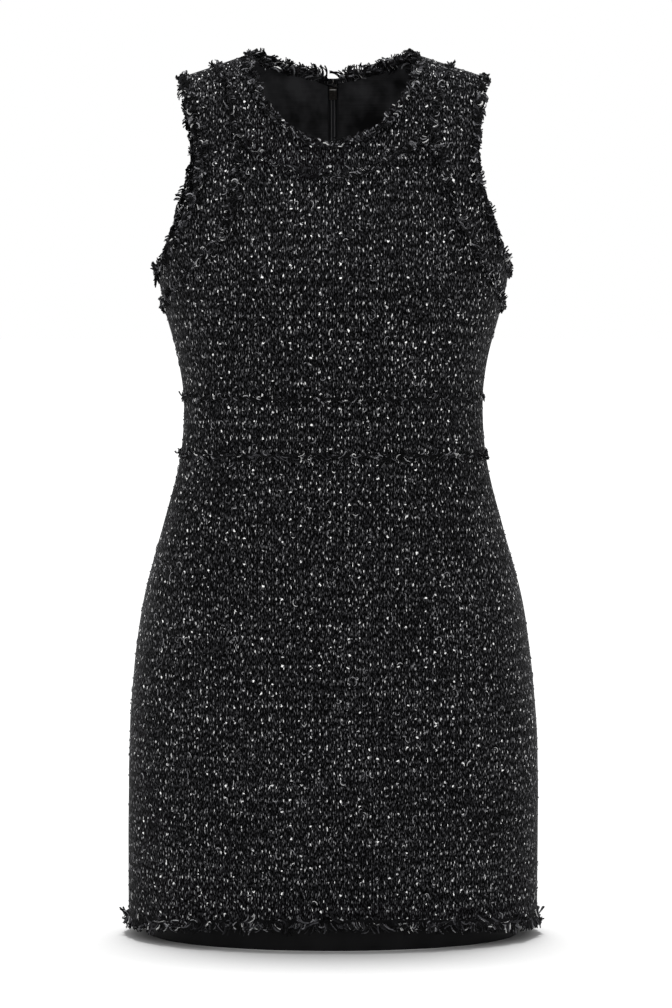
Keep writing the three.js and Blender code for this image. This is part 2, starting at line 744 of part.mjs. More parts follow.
// The slider sits inside the cloth and leans with it. Its lug comes out through the notch and
// carries the pin of the pull, which hangs down over the seam.
function addSlider(under) {
  const top = onBody({ turn: 180, z: SLIDER.top }, -under);
  const foot = onBody({ turn: 180, z: SLIDER.bottom }, -under);
  const long = top.distanceTo(foot);
  const seat = top.clone().add(foot).multiplyScalar(0.5);
  const place = new THREE.Matrix4()
    .makeTranslation(0, seat.y, seat.z)
    .multiply(new THREE.Matrix4().makeRotationX(Math.atan2(foot.y - top.y, top.z - foot.z)));
  // In the slider's own frame +Y points out of the cloth and +Z up the chain.
  const stand = under + LUG.stand;
  const pinZ = long / 2 - LUG.below;
  const slider = block(SLIDER.half, -SLIDER.thick, 0, -long / 2, long / 2)
    .add(block(LUG.half, -1, stand, pinZ - LUG.radius, pinZ + LUG.radius))
    .add(rod(LUG.radius, LUG.half, stand, pinZ))
    .subtract(rod(LUG.hole, LUG.half + 1, stand, pinZ));
  add("zip_slider", geometryOf(slider).applyMatrix4(place), METAL_LOOK);

  const shoulder = PULL.fork + PULL.arm;
  const arm = (side) => {
    const box = new THREE.BoxGeometry(PULL.arm, PULL.thick, 5.2);
    return solid(box.translate(side * (PULL.fork + PULL.arm / 2), stand, pinZ - 1.7));
  };
  const outline = new THREE.Shape();
  outline.moveTo(-shoulder, 0);
  outline.lineTo(-PULL.half, -PULL.length * 0.75);
  outline.absarc(0, -PULL.length * 0.75, PULL.half, Math.PI, 2 * Math.PI, false);
  outline.lineTo(shoulder, 0);
  outline.closePath();
  const tab = new THREE.ExtrudeGeometry(outline, {
    depth: PULL.thick,
    bevelEnabled: false,
    curveSegments: 8,
  });
  tab.rotateX(Math.PI / 2).translate(0, stand + PULL.thick / 2, pinZ - 3.6);
  const pull = rod(PULL.pin, shoulder, stand, pinZ).add(arm(1)).add(arm(-1)).add(solid(tab));
  add("zip_pull", geometryOf(pull).applyMatrix4(place), METAL_LOOK);
}

addBands();
addBody();
addLining();
addFringes();
addZip();

export default dress;
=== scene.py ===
"""Looks of a sleeveless sheath dress in fringed black tweed, filled out as if worn.

Sizes are in millimetres until a mesh is made, which is in metres. +Z is up, the front faces -Y and
the wearer's left is towards +X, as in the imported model.
"""

import logging
import math
from dataclasses import dataclass, field
from enum import Enum
from functools import partial
from typing import Callable, Sequence

import bpy
import numpy as np
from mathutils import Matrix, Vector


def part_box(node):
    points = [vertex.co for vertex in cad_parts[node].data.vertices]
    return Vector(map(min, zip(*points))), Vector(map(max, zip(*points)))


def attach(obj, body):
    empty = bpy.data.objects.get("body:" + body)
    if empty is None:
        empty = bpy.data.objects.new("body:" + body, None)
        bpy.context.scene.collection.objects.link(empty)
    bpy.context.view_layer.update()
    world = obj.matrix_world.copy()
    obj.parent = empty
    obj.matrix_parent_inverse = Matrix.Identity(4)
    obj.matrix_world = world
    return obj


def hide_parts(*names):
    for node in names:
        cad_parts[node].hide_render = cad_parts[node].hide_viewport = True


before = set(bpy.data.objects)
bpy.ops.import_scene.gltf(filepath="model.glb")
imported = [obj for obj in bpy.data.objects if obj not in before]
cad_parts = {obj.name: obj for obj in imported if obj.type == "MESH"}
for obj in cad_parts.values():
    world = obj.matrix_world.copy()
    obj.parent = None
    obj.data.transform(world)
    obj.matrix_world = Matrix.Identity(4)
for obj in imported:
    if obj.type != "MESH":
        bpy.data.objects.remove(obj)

LOG = logging.getLogger("dress")
Array = np.ndarray
Tree = bpy.types.NodeTree
Socket = bpy.types.NodeSocket
MM = 0.001  # metres in a millimetre

# ---- Sizes shared by the pieces -------------------------------------------------------------------

TWEED = 2.0  # wall of the outer cloth
LINING = 1.0  # wall of the lining
LINING_DEPTH = 4.8  # from the tweed's outer face in to the lining's
SEWN = 0.02  # half of the gap between two pieces sewn together
FINE = 6  # columns of a scene mesh for one segment of a cut edge
SHARP = 40.0  # degrees; edges that turn by more than this stay sharp

# Horizontal sections of the worn dress: height, half width, depth in front and behind, and how far
# the corners of the oval swell.
SECTIONS = np.array(
    [
        (12, 48, 14, 18, 0),
        (0, 83, 27, 34, 0),
        (-10, 111.5, 37, 46, 0),
        (-22, 144, 45, 57, 0),
        (-50, 163, 60, 77, 0),
        (-90, 169, 76, 93, 0.01),
        (-150, 170, 98, 104, 0.03),
        (-208, 165, 117, 102, 0.06),
        (-240, 158.5, 121.5, 98, 0.07),
        (-285, 146.5, 113, 90, 0.05),
        (-325, 141.3, 100, 84, 0.03),
        (-378, 144.5, 98, 86, 0.03),
        (-440, 160, 104, 104, 0.03),
        (-510, 179, 112, 126, 0.03),
        (-580, 189.2, 118, 132, 0.03),
        (-660, 194.2, 123, 130, 0.02),
        (-835, 194.3, 128, 125, 0.02),
    ],
    dtype=[(name, float) for name in ("z", "half", "front", "back", "square")],
)

# Edges of the cut pieces on the unrolled body: turn in degrees from the centre of that side, and
# height.
ARMHOLE_FRONT_LEFT = (
    (90, -20), (65.5, -31), (56.5, -53), (52.8, -78), (51.9, -103),
    (54, -128), (58, -149), (65.3, -174.5), (76, -193), (90, -206),
)  # fmt: skip
ARMHOLE_FRONT_RIGHT = (
    (90, -20), (65, -31), (55, -53), (49, -76), (46, -97),
    (46, -119), (49.5, -142), (57.5, -170), (70, -192), (90, -206),
)  # fmt: skip
ARMHOLE_BACK = (
    (90, -20), (68, -28), (58, -51), (52.5, -85),
    (55, -124), (63, -163), (75, -192), (90, -206),
)  # fmt: skip
MEETING_FRONT = ((90, -9), (57.5, -15), (41.5, -27), (36, -52), (32.2, -77))
MEETING_BACK = ((90, -9), (58, -15), (44.5, -27), (38, -50))
ARMHOLE_SEAM_FRONT_LEFT = (
    (32.2, -77), (35, -96), (38, -122), (42.4, -153),
    (49, -177), (58, -203), (72, -225), (90, -238),
)  # fmt: skip
ARMHOLE_SEAM_FRONT_RIGHT = (
    (32.2, -77), (30.2, -97), (30, -122), (32.5, -147), (37.5, -172),
    (46, -194), (58, -214), (72, -229), (90, -238),
)  # fmt: skip
ARMHOLE_SEAM_BACK = (
    (38, -50), (38.5, -92), (42, -135), (49, -172), (60, -203), (73, -225), (90, -238),
)  # fmt: skip
NECK_SEAM_FRONT = ((32.2, -77), (26, -89), (15.7, -105), (7, -115.5), (0, -118))
NECK_SEAM_BACK = ((38, -50), (26, -51.5), (13, -52), (0, -52))


class Face(Enum):
    """The side of the dress that a piece belongs to."""

    FRONT = "front"
    BACK = "back"


class Hand(Enum):
    """The wearer's left or right."""

    LEFT = "left"
    RIGHT = "right"

    @property
    def way(self) -> int:
        """1 towards the wearer's left, -1 towards the right."""
        return 1 if self is Hand.LEFT else -1


class Border(Enum):
    """How the edge of a cut piece ends."""

    RAW = "raw"
    SEWN = "sewn"
    PARTED = "parted"  # over the zip


# ---- Arrays ---------------------------------------------------------------------------------------


def unit(vectors: Array) -> Array:
    """Vectors divided by their length.

    Args:
        vectors: An array whose last axis is x, y, z.

    Returns:
        An array of the same shape.
    """
    return vectors / np.maximum(np.linalg.norm(vectors, axis=-1, keepdims=True), 1e-12)


def lengths_along(points: Array, axis: int) -> Array:
    """Running length of every line of a grid: the sum of its steps from the line's first point.

    Args:
        points: A grid of points, with x, y, z last.
        axis: The axis that the lines follow.

    Returns:
        The grid of running lengths.
    """
    steps = np.linalg.norm(np.diff(points, axis=axis), axis=-1)
    return np.concatenate([np.zeros_like(steps.take([0], axis)), np.cumsum(steps, axis)], axis)


def at_indices(grid: Array, where: Array, axis: int) -> Array:
    """The grid read at fractional indices along an axis, straight between its points.

    Args:
        grid: Any array.
        where: The fractional indices, rising.
        axis: The axis to read along.

    Returns:
        The array with that axis resampled.
    """
    low = np.clip(np.floor(where).astype(int), 0, grid.shape[axis] - 2)
    share = (where - low).reshape([-1 if k == axis else 1 for k in range(grid.ndim)])
    return grid.take(low, axis) * (1 - share) + grid.take(low + 1, axis) * share


def read_at(values: Array, run: Array, where: Array) -> Array:
    """Rows of values known at running lengths, read at others, straight between them."""
    return np.stack([np.interp(where, run, column) for column in values.T], -1)


def waves(points: Array, seed: int, scale: float, count: int = 9) -> Array:
    """A soft uneven field from -1 to 1: the mean of sines that run in scattered directions.

    Args:
        points: Points in millimetres.
        seed: Chooses the directions and phases.
        scale: The usual length of a wave, in millimetres.
        count: How many sines.

    Returns:
        One number for each point.
    """
    rng = np.random.default_rng(seed)
    ways = unit(rng.normal(size=(count, 3)))
    ways = ways * (2 * np.pi / (scale * rng.uniform(0.6, 1.7, (count, 1))))
    phases = rng.uniform(0, 2 * np.pi, count)
    return np.sin(points @ ways.T + phases).sum(-1) / (0.55 * count)


# ---- The body surface -----------------------------------------------------------------------------


@dataclass(frozen=True)
class Body:
    """The smooth surface that the cloth lies on.

    A place on it is (turn, z): turn runs from 0 at centre front through 90 at the wearer's left to
    180 at centre back, and z is the height. From `hang_from` down the lining's surface is drawn in,
    by `hang` (half width, front, back) at its hem.
    """

    hang_from: float = -380
    hang_hem: float = -831
    hang: tuple[float, float, float] = (14, 4.5, 4)

    def column(self, name: str, z: Array) -> Array:
        """A size of the section at height z: a cubic through the rows, with the slope at a row
        taken between its neighbours.

        Args:
            name: The size's name in the table.
            z: Heights.

        Returns:
            The size at each height.
        """
        level, value = SECTIONS["z"], SECTIONS[name]
        last = len(level) - 1
        k = np.arange(last + 1)
        before, after = np.maximum(k - 1, 0), np.minimum(k + 1, last)
        slope = (value[after] - value[before]) / (level[after] - level[before])
        i = np.clip(np.searchsorted(-level, -np.asarray(z, float)) - 1, 0, last - 1)
        step = level[i + 1] - level[i]
        t = np.clip((z - level[i]) / step, 0, 1)
        return (
            (2 * t**3 - 3 * t**2 + 1) * value[i]
            + (t**3 - 2 * t**2 + t) * step * slope[i]
            + (3 * t**2 - 2 * t**3) * value[i + 1]
            + (t**3 - t**2) * step * slope[i + 1]
        )

    def points(self, places: Array, hanging: bool = False) -> Array:
        """Points of the surface: x = half s (1 + q c^2), y = -depth c (1 + q s^2), where s and c are
        the sine and cosine of turn and q is the swell of the corners.

        Args:
            places: Turns and heights.
            hanging: Whether the lower part is drawn in as the lining is.

        Returns:
            Points in millimetres.
        """
        turn, z = np.radians(places[..., 0]), places[..., 1]
        s, c = np.sin(turn), np.cos(turn)
        square = self.column("square", z)
        share = np.maximum((self.hang_from - z) / (self.hang_from - self.hang_hem), 0) ** 1.5
        side, front, back = (share * pull * hanging for pull in self.hang)
        half = self.column("half", z) - side
        depth = np.where(c >= 0, self.column("front", z) - front, self.column("back", z) - back)
        return np.stack([half * s * (1 + square * c * c), -depth * c * (1 + square * s * s), z], -1)

    def normals(self, places: Array, hanging: bool = False) -> Array:
        """Outward normals: the way round the section crossed with the way up, from steps of half a
        degree and half a millimetre.

        Args:
            places: Turns and heights.
            hanging: As for points.

        Returns:
            Unit vectors.
        """
        turn_step, rise_step = np.array([0.5, 0]), np.array([0, 0.5])
        around = self.points(places + turn_step, hanging) - self.points(places - turn_step, hanging)
        up = self.points(places + rise_step, hanging) - self.points(places - rise_step, hanging)
        return unit(np.cross(around, up))

    def lifted(self, places: Array, lift: Array | float, hanging: bool = False) -> Array:
        """Points moved out along the normals by lift."""
        lift = np.asarray(lift, float)[..., None]
        return self.points(places, hanging) + self.normals(places, hanging) * lift

    def flat(self, places: Array) -> Array:
        """Where a place lies on the flat cloth: across it, the girth from the centre of its side at
        that height, and up it, the height plus what the cloth gains as it leans over the shoulders,
        which is the sum of sqrt(1 + (dy/dz)^2) - 1 at the same distance from the middle.

        Args:
            places: Turns and heights.

        Returns:
            Across and up, in millimetres.
        """
        turn, z = np.radians(places[..., 0]), places[..., 1]
        from_centre = np.degrees(np.arcsin(np.abs(np.sin(turn))))
        behind = np.cos(turn) < -1e-9
        levels = np.arange(-844.0, 14.0, 2.0)
        grid = np.stack(np.meshgrid(np.arange(0.0, 91.0), levels), -1)
        ahead = lengths_along(self.points(grid), 1)
        rear = lengths_along(self.points(to_back(grid)), 1)
        row = (z - levels[0]) / (levels[1] - levels[0])
        girths = bilinear(rear, row, from_centre), bilinear(ahead, row, from_centre)
        girth = np.where(behind, *girths)
        x = np.abs(self.points(places)[..., 0])
        gain = np.where(behind, self._lean(Face.BACK, x, z), self._lean(Face.FRONT, x, z))
        return np.stack([girth * np.sign(np.sin(turn) + 1e-12), z + gain], -1)

    def _lean(self, face: Face, x: Array, z: Array) -> Array:
        """The gain in length over the shoulder, from a table over the distance from the middle and
        the height."""
        levels = np.arange(-120.0, 13.0)
        out = np.arange(0.0, 172.0, 2.0)
        half = self.column("half", levels)[:, None]
        depth = self.column(face.value, levels)[:, None]
        y = depth * np.sqrt(np.clip(1 - (out[None] / half) ** 2, 0, None))
        steep = np.clip(np.abs(np.gradient(y, axis=0)), 0, 3)
        gain = np.cumsum(np.sqrt(1 + steep**2) - 1, axis=0)
        return bilinear(gain, z - levels[0], x / out[1])


def bilinear(table: Array, row: Array, column: Array) -> Array:
    """A table read at fractional rows and columns, straight between its entries.

    Args:
        table: Numbers over rows and columns.
        row: Fractional rows.
        column: Fractional columns.

    Returns:
        The numbers there.
    """
    row = np.clip(row, 0, table.shape[0] - 1.001)
    column = np.clip(column, 0, table.shape[1] - 1.001)
    i, j = np.floor(row).astype(int), np.floor(column).astype(int)
    a, b = row - i, column - j
    top = table[i, j] * (1 - b) + table[i, j + 1] * b
    foot = table[i + 1, j] * (1 - b) + table[i + 1, j + 1] * b
    return top * (1 - a) + foot * a


BODY = Body()


# ---- Cut edges ------------------------------------------------------------------------------------


def spaced(curve: Callable[[Array], Array], count: int, ease: float = 1.0) -> Array:
    """Places along a curve whose distances from its start grow as (k / count) ^ ease.

    Args:
        curve: From numbers between 0 and 1 to places.
        count: The number of steps.
        ease: 1 for even steps, more for closer ones at the start.

    Returns:
        count + 1 places.
    """
    places = curve(np.linspace(0, 1, 481))
    run = lengths_along(BODY.points(places), 0)
    return read_at(places, run, run[-1] * np.linspace(0, 1, count + 1) ** ease)


def edge(rows: Sequence[tuple[float, float]], count: int, ease: float = 1.0) -> Array:
    """A smooth curve through the rows of an edge table: a centripetal Catmull-Rom spline, drawn
    with 1.6 mm of cloth for a degree of turn.

    Args:
        rows: Turns and heights.
        count: The number of steps.
        ease: As for spaced.

    Returns:
        count + 1 places.
    """
    unrolled = np.array([1.6, 1])
    knots = np.array(rows, float) * unrolled
    padded = np.concatenate([[2 * knots[0] - knots[1]], knots, [2 * knots[-1] - knots[-2]]])
    gaps = np.sqrt(np.linalg.norm(np.diff(padded, axis=0), axis=1))

    def at(t: Array) -> Array:
        """The spline's places at t."""
        where = t * (len(knots) - 1)
        i = np.minimum(np.floor(where).astype(int), len(knots) - 2)
        w = (where - i)[:, None]
        p0, p1, p2, p3 = (padded[i + k] for k in range(4))
        d0, d1, d2 = (gaps[i + k][:, None] for k in range(3))
        m1 = d1 * ((p1 - p0) / d0 - (p2 - p0) / (d0 + d1) + (p2 - p1) / d1)
        m2 = d1 * ((p2 - p1) / d1 - (p3 - p1) / (d1 + d2) + (p3 - p2) / d2)
        cubic = 2 * (p1 - p2) + m1 + m2
        square = 3 * (p2 - p1) - 2 * m1 - m2
        return (p1 + m1 * w + square * w**2 + cubic * w**3) / unrolled

    return spaced(at, count, ease)


NECK_HALF = 78.0  # from the middle to the raw neck edge at the shoulder seam
NECK_SHAPES = {Face.FRONT: (84.5, 1.88), Face.BACK: (18.5, 1.15)}  # the edge's drop and power


def ridge(x: float) -> float:
    """Height of the shoulder seam at a distance x from the middle, by repeated small steps down
    in proportion to what is still missing from the section's half width."""
    z = 0.0
    for _ in range(20):
        z -= (x - float(BODY.column("half", np.array(z)))) / 3
    return z


def neckline(face: Face, grow: float, count: int) -> Array:
    """The neck edge from the shoulder seam to the centre, a super-ellipse: its distance from the
    middle is half cos(a)^(2/p), and its drop follows sin(a)^(2/p).

    Args:
        face: Front or back.
        grow: How far outside the raw edge it lies.
        count: The number of steps.

    Returns:
        count + 1 places.
    """
    drop, power = NECK_SHAPES[face]
    half = NECK_HALF + grow
    top, foot = ridge(half), -drop - grow * 0.9

    def at(t: Array) -> Array:
        """The neck edge's places at t."""
        a = np.clip(t, 1e-9, 1 - 1e-9) * np.pi / 2
        x = half * np.cos(a) ** (2 / power)
        z = top + (foot - top) * np.sin(a) ** (2 / power)
        width, square = BODY.column("half", z), BODY.column("square", z)
        s = np.minimum(1, x / width)
        for _ in range(6):
            s = np.minimum(1, x / width / (1 + square * (1 - s * s)))
        turn = np.degrees(np.arcsin(s))
        turn[0], turn[-1] = 90, 0
        return np.stack([turn, z], -1)

    return spaced(at, count, 1.35)


def level(z: float, count: int, rise: float = 0.0) -> Array:
    """A level edge from the side seam to the centre, where it stands higher by rise.

    Args:
        z: Its height at the side seam.
        count: The number of steps.
        rise: What the edge gains by the centre.

    Returns:
        count + 1 places.
    """

    def at(t: Array) -> Array:
        """The edge's places at t."""
        return np.stack([90 - 90 * t, z + rise * np.sin(np.pi / 2 * t) ** 2], -1)

    return spaced(at, count)


def mirror(places: Array) -> Array:
    """The places on the other side of the middle."""
    return places * np.array([-1, 1])


def to_back(places: Array) -> Array:
    """Places of the front half turned to the back."""
    return np.stack([180 - places[..., 0], places[..., 1]], -1)


def joined(*runs: Array) -> Array:
    """Runs of places end to end, with what they share kept once."""
    return np.concatenate([run if i == 0 else run[1:] for i, run in enumerate(runs)])


def across(left: Array, right: Array | None = None) -> Array:
    """From the wearer's right shoulder or side, across the centre, to the left."""
    return joined(mirror(left if right is None else right), left[::-1])


@dataclass(frozen=True)
class CutEdges:
    """The edges of the pieces on one side of the dress, on the wearer's left of the centre."""

    face: Face
    armhole_rows: tuple
    armhole_seam_rows: tuple

    def _step(self, count: int) -> int:
        """Fine steps for a number of segments of the cut edge."""
        return count * FINE

    @property
    def neck(self) -> Array:
        """The raw neck edge."""
        return neckline(self.face, 0, self._step(8))

    @property
    def neck_of_lining(self) -> Array:
        """The lining's own neck edge, inside the raw one: 4 mm in front and 1.5 mm behind."""
        return neckline(self.face, 4 if self.face is Face.FRONT else 1.5, self._step(8))

    @property
    def armhole(self) -> Array:
        """The raw armhole edge."""
        return edge(self.armhole_rows, self._step(12), 1.2)

    @property
    def meeting(self) -> Array:
        """Where the neck band meets the armhole band."""
        rows = MEETING_FRONT if self.face is Face.FRONT else MEETING_BACK
        return edge(rows, self._step(5), 1.5)

    @property
    def armhole_seam(self) -> Array:
        """The seam between the armhole band and the bodice."""
        return edge(self.armhole_seam_rows, self._step(7))

    @property
    def neck_seam(self) -> Array:
        """The seam between the neck band and the bodice."""
        rows = NECK_SEAM_FRONT if self.face is Face.FRONT else NECK_SEAM_BACK
        return edge(rows, self._step(3))

    @property
    def neck_band(self) -> Array:
        """The neck band's outer edge, from the shoulder to the centre."""
        return joined(self.meeting, self.neck_seam)

    @property
    def armhole_band(self) -> Array:
        """The armhole band's inner edge, from the shoulder to the side seam."""
        return joined(self.meeting, self.armhole_seam)

    @property
    def bodice_top(self) -> Array:
        """The bodice's upper edge, from the side seam to the centre."""
        return joined(self.armhole_seam[::-1], self.neck_seam)


FRONT = {
    Hand.LEFT: CutEdges(Face.FRONT, ARMHOLE_FRONT_LEFT, ARMHOLE_SEAM_FRONT_LEFT),
    Hand.RIGHT: CutEdges(Face.FRONT, ARMHOLE_FRONT_RIGHT, ARMHOLE_SEAM_FRONT_RIGHT),
}
REAR = CutEdges(Face.BACK, ARMHOLE_BACK, ARMHOLE_SEAM_BACK)
AROUND = 10 * FINE  # columns from side seam to centre
WAIST_TOP, WAIST_FOOT = level(-322, AROUND), level(-374.5, AROUND)
HEM_FRONT, HEM_BACK = level(-814, AROUND, 10), level(-814, AROUND, 4)
ZIP_FOOT = -537.8  # lower end of the zip, at a row of the skirt's back

# ---- Meshes ---------------------------------------------------------------------------------------


def make_piece(
    name: str,
    points: Array,
    faces: Sequence[Array],
    flat: Array | None = None,
    shade: Array | None = None,
) -> bpy.types.Object:
    """A mesh object from points in millimetres.

    Args:
        name: The piece's name.
        points: The vertices.
        faces: Arrays of vertex numbers, one row a face, each array with its own number of corners.
        flat: Flat cloth coordinates in millimetres for each vertex, kept as the UV map "cloth".
        shade: A number for each vertex, kept as the attribute "yarn".

    Returns:
        The object, at the origin.
    """
    mesh = bpy.data.meshes.new(name)
    corners = np.concatenate([f.ravel() for f in faces]).astype(np.int32)
    sizes = np.concatenate([np.full(len(f), f.shape[1]) for f in faces])
    starts = np.concatenate([[0], np.cumsum(sizes)[:-1]]).astype(np.int32)
    mesh.vertices.add(len(points))
    mesh.vertices.foreach_set("co", (points * MM).astype(np.float32).ravel())
    mesh.loops.add(len(corners))
    mesh.loops.foreach_set("vertex_index", corners)
    mesh.polygons.add(len(sizes))
    mesh.polygons.foreach_set("loop_start", starts)
    mesh.update(calc_edges=True)
    mesh.polygons.foreach_set("use_smooth", np.ones(len(sizes), bool))
    mesh.set_sharp_from_angle(angle=math.radians(SHARP))
    if flat is not None:
        layer = mesh.uv_layers.new(name="cloth")
        layer.uv.foreach_set("vector", (flat[corners] * MM).astype(np.float32).ravel())
    if shade is not None:
        values = mesh.attributes.new("yarn", "FLOAT", "POINT")
        values.data.foreach_set("value", shade.astype(np.float32))
    mesh.update()
    piece = bpy.data.objects.new(name, mesh)
    bpy.context.scene.collection.objects.link(piece)
    return piece


def cells_of(ids: Array) -> Array:
    """The four corners of each cell of a grid of vertex numbers, in order round it."""
    return np.stack([ids[:-1, :-1], ids[:-1, 1:], ids[1:, 1:], ids[1:, :-1]], -1).reshape(-1, 4)


def facing_out(points: Array, faces: Sequence[Array]) -> list[Array]:
    """The faces, turned round if they enclose a negative volume, summed over fans of triangles.

    Args:
        points: The vertices.
        faces: Arrays of faces, all facing one way.

    Returns:
        The arrays of faces.
    """
    volume = 0.0
    for group in faces:
        p = points[group]
        for k in range(1, group.shape[1] - 1):
            volume += float(np.einsum("ij,ij->", p[:, 0], np.cross(p[:, k], p[:, k + 1])))
    return [group[:, ::-1] if volume < 0 else group for group in faces]


@dataclass
class Sheet:
    """A closed cloth wall over one or more grids of places that may share points.

    The outer face lies `lifts` above the body surface, or below it where they are negative; the
    inner face lies `thick` below the outer one, and every free border is closed by a rim.
    """

    name: str
    grids: list[Array]
    lifts: list[Array]
    thick: float
    hanging: bool = False
    outer: Array = field(init=False, repr=False)  # the built outer face's vertices
    normals_out: Array = field(init=False, repr=False)  # at each of them
    quad: Array = field(init=False, repr=False)  # its faces

    def build(self) -> bpy.types.Object:
        """Makes the mesh, with the flat cloth's coordinates as its UV map."""
        places = np.concatenate([grid.reshape(-1, 2) for grid in self.grids])
        lift = np.concatenate([value.ravel() for value in self.lifts])
        on_body = BODY.points(places, self.hanging)
        normals = BODY.normals(places, self.hanging)
        _, first, back = np.unique(
            np.round(on_body, 3) + 0.0, axis=0, return_index=True, return_inverse=True
        )
        back, count, quads, start = back.ravel(), len(first), [], 0
        for grid in self.grids:
            rows, columns = grid.shape[:2]
            ids = back[start : start + rows * columns].reshape(rows, columns)
            start += rows * columns
            quads.append(cells_of(ids))
        quad = np.concatenate(quads)
        a, b = quad.ravel(), np.roll(quad, -1, axis=1).ravel()
        free = ~np.isin(a * count + b, b * count + a)
        a, b = a[free], b[free]
        rims = np.stack([b, a, a + count, b + count], -1)
        outer = on_body[first] + normals[first] * lift[first][:, None]
        inner = on_body[first] + normals[first] * (lift[first] - self.thick)[:, None]
        points = np.concatenate([outer, inner])
        faces = facing_out(points, [quad, quad[:, ::-1] + count, rims])
        flat = BODY.flat(places[first])
        self.outer, self.normals_out, self.quad = outer, normals[first], quad
        return make_piece(self.name, points, faces, np.concatenate([flat, flat]))

    def cut(self) -> tuple[tuple[float, float], float]:
        """The flat cut of the grids: the smallest rectangle that holds it, of those turned by whole
        degrees, and its area.

        Returns:
            (width, length) in metres and the area in square metres.
        """
        area, flats = 0.0, []
        for grid in self.grids:
            p = BODY.points(grid, self.hanging)
            one, two = p[1:, 1:] - p[:-1, :-1], p[1:, :-1] - p[:-1, 1:]
            area += float(np.linalg.norm(np.cross(one, two), axis=-1).sum()) / 2
            flats.append(BODY.flat(grid).reshape(-1, 2))
        turn = np.radians(np.arange(90))
        ways = np.stack([[np.cos(turn), np.sin(turn)], [-np.sin(turn), np.cos(turn)]])
        reach = np.ptp(np.tensordot(np.concatenate(flats), ways, (1, 1)), axis=0)
        best = reach[:, reach.prod(0).argmin()]
        size = tuple(float(v) for v in np.round(best * MM, 3))
        return size, round(min(area * MM * MM, size[0] * size[1]), 4)

    def scattered(self, count: int, rng: np.random.Generator) -> tuple[Array, Array, Array]:
        """Random points of the outer face, even over its area: a cell is drawn by its share of the
        area, then a point inside it.

        Args:
            count: How many.
            rng: The source of random numbers.

        Returns:
            Points, outward normals and directions across the cloth.
        """
        p = self.outer[self.quad]
        areas = np.linalg.norm(np.cross(p[:, 2] - p[:, 0], p[:, 3] - p[:, 1]), axis=1)
        cell = rng.choice(len(areas), count, p=areas / areas.sum())
        s, t = rng.uniform(0, 1, (2, count, 1))
        weights = [(1 - s) * (1 - t), s * (1 - t), s * t, (1 - s) * t]
        at = sum(w * self.outer[self.quad[cell, k]] for k, w in enumerate(weights))
        out = unit(sum(w * self.normals_out[self.quad[cell, k]] for k, w in enumerate(weights)))
        return at, out, unit(p[cell, 1] - p[cell, 0])


def tubes(paths: Array, radii: Array, sides: int) -> tuple[Array, list[Array]]:
    """Round strands: a ring of `sides` points is carried along each path, turned with it from ring
    to ring, and its two ends are closed.

    Args:
        paths: Strands by points by x, y, z.
        radii: The radius at each point of each path.
        sides: Points in a ring.

    Returns:
        The vertices, and the faces as side quads and end caps.
    """
    strands, rings = paths.shape[:2]
    along = unit(np.gradient(paths, axis=1))
    helper = np.where(np.abs(along[:, :1, 2:]) < 0.8, [[[0, 0, 1.0]]], [[[1.0, 0, 0]]])
    across_way = unit(np.cross(along[:, 0], helper[:, 0]))
    ways = [across_way]
    for k in range(1, rings):
        tangent = along[:, k]
        across_way = unit(across_way - (across_way * tangent).sum(-1, keepdims=True) * tangent)
        ways.append(across_way)
    u = np.stack(ways, 1)
    v = np.cross(along, u)
    angle = 2 * np.pi * np.arange(sides) / sides
    ring = u[:, :, None] * np.cos(angle)[:, None] + v[:, :, None] * np.sin(angle)[:, None]
    points = (paths[:, :, None] + ring * radii[:, :, None, None]).reshape(-1, 3)
    ids = np.arange(strands * rings * sides).reshape(strands, rings, sides)
    turned = np.roll(ids, -1, axis=2)
    quads = np.stack([ids[:, :-1], turned[:, :-1], turned[:, 1:], ids[:, 1:]], -1).reshape(-1, 4)
    caps = np.concatenate([ids[:, 0, ::-1], ids[:, -1]])
    return points, [quads, caps]


# ---- Finishes -------------------------------------------------------------------------------------


def linear(colour: str) -> tuple[float, float, float, float]:
    """An sRGB hex value as linear red, green, blue and an alpha of 1."""
    parts = [int(colour[k : k + 2], 16) / 255 for k in (1, 3, 5)]
    return (*(c / 12.92 if c <= 0.04045 else ((c + 0.055) / 1.055) ** 2.4 for c in parts), 1.0)


def add_node(
    tree: Tree, kind: str, settings: dict | None = None, inputs: dict | None = None
) -> bpy.types.Node:
    """Adds a node, with its settings and its inputs.

    Args:
        tree: The node tree.
        kind: The node's type.
        settings: Its own properties; "ramp" holds a colour ramp's stops as (place, hex colour).
        inputs: By name or number, a value to set or a socket to link.

    Returns:
        The node.
    """
    node = tree.nodes.new(kind)
    for key, value in (settings or {}).items():
        if key == "ramp":
            stops = node.color_ramp.elements
            while len(stops) < len(value):
                stops.new(1.0)
            for stop, (place, colour) in zip(stops, value):
                stop.position, stop.color = place, linear(colour)
        else:
            setattr(node, key, value)
    for key, value in (inputs or {}).items():
        if isinstance(value, Socket):
            tree.links.new(value, node.inputs[key])
        else:
            node.inputs[key].default_value = value
    return node


def new_material(name: str) -> tuple[bpy.types.Material, Tree]:
    """An empty material and its node tree."""
    material = bpy.data.materials.new(name)
    material.use_nodes = True
    material.node_tree.nodes.clear()
    return material, material.node_tree


def finished(tree: Tree, settings: dict) -> None:
    """Ends a material with a Principled shader whose inputs are the settings."""
    shader = add_node(tree, "ShaderNodeBsdfPrincipled", inputs=settings)
    add_node(tree, "ShaderNodeOutputMaterial", inputs={"Surface": shader.outputs[0]})


def math_node(tree: Tree, kind: str, *values: object, clamp: bool = False) -> Socket:
    """A sum, product or the like of numbers and sockets."""
    settings = {"operation": kind, "use_clamp": clamp}
    return add_node(tree, "ShaderNodeMath", settings, dict(enumerate(values))).outputs[0]


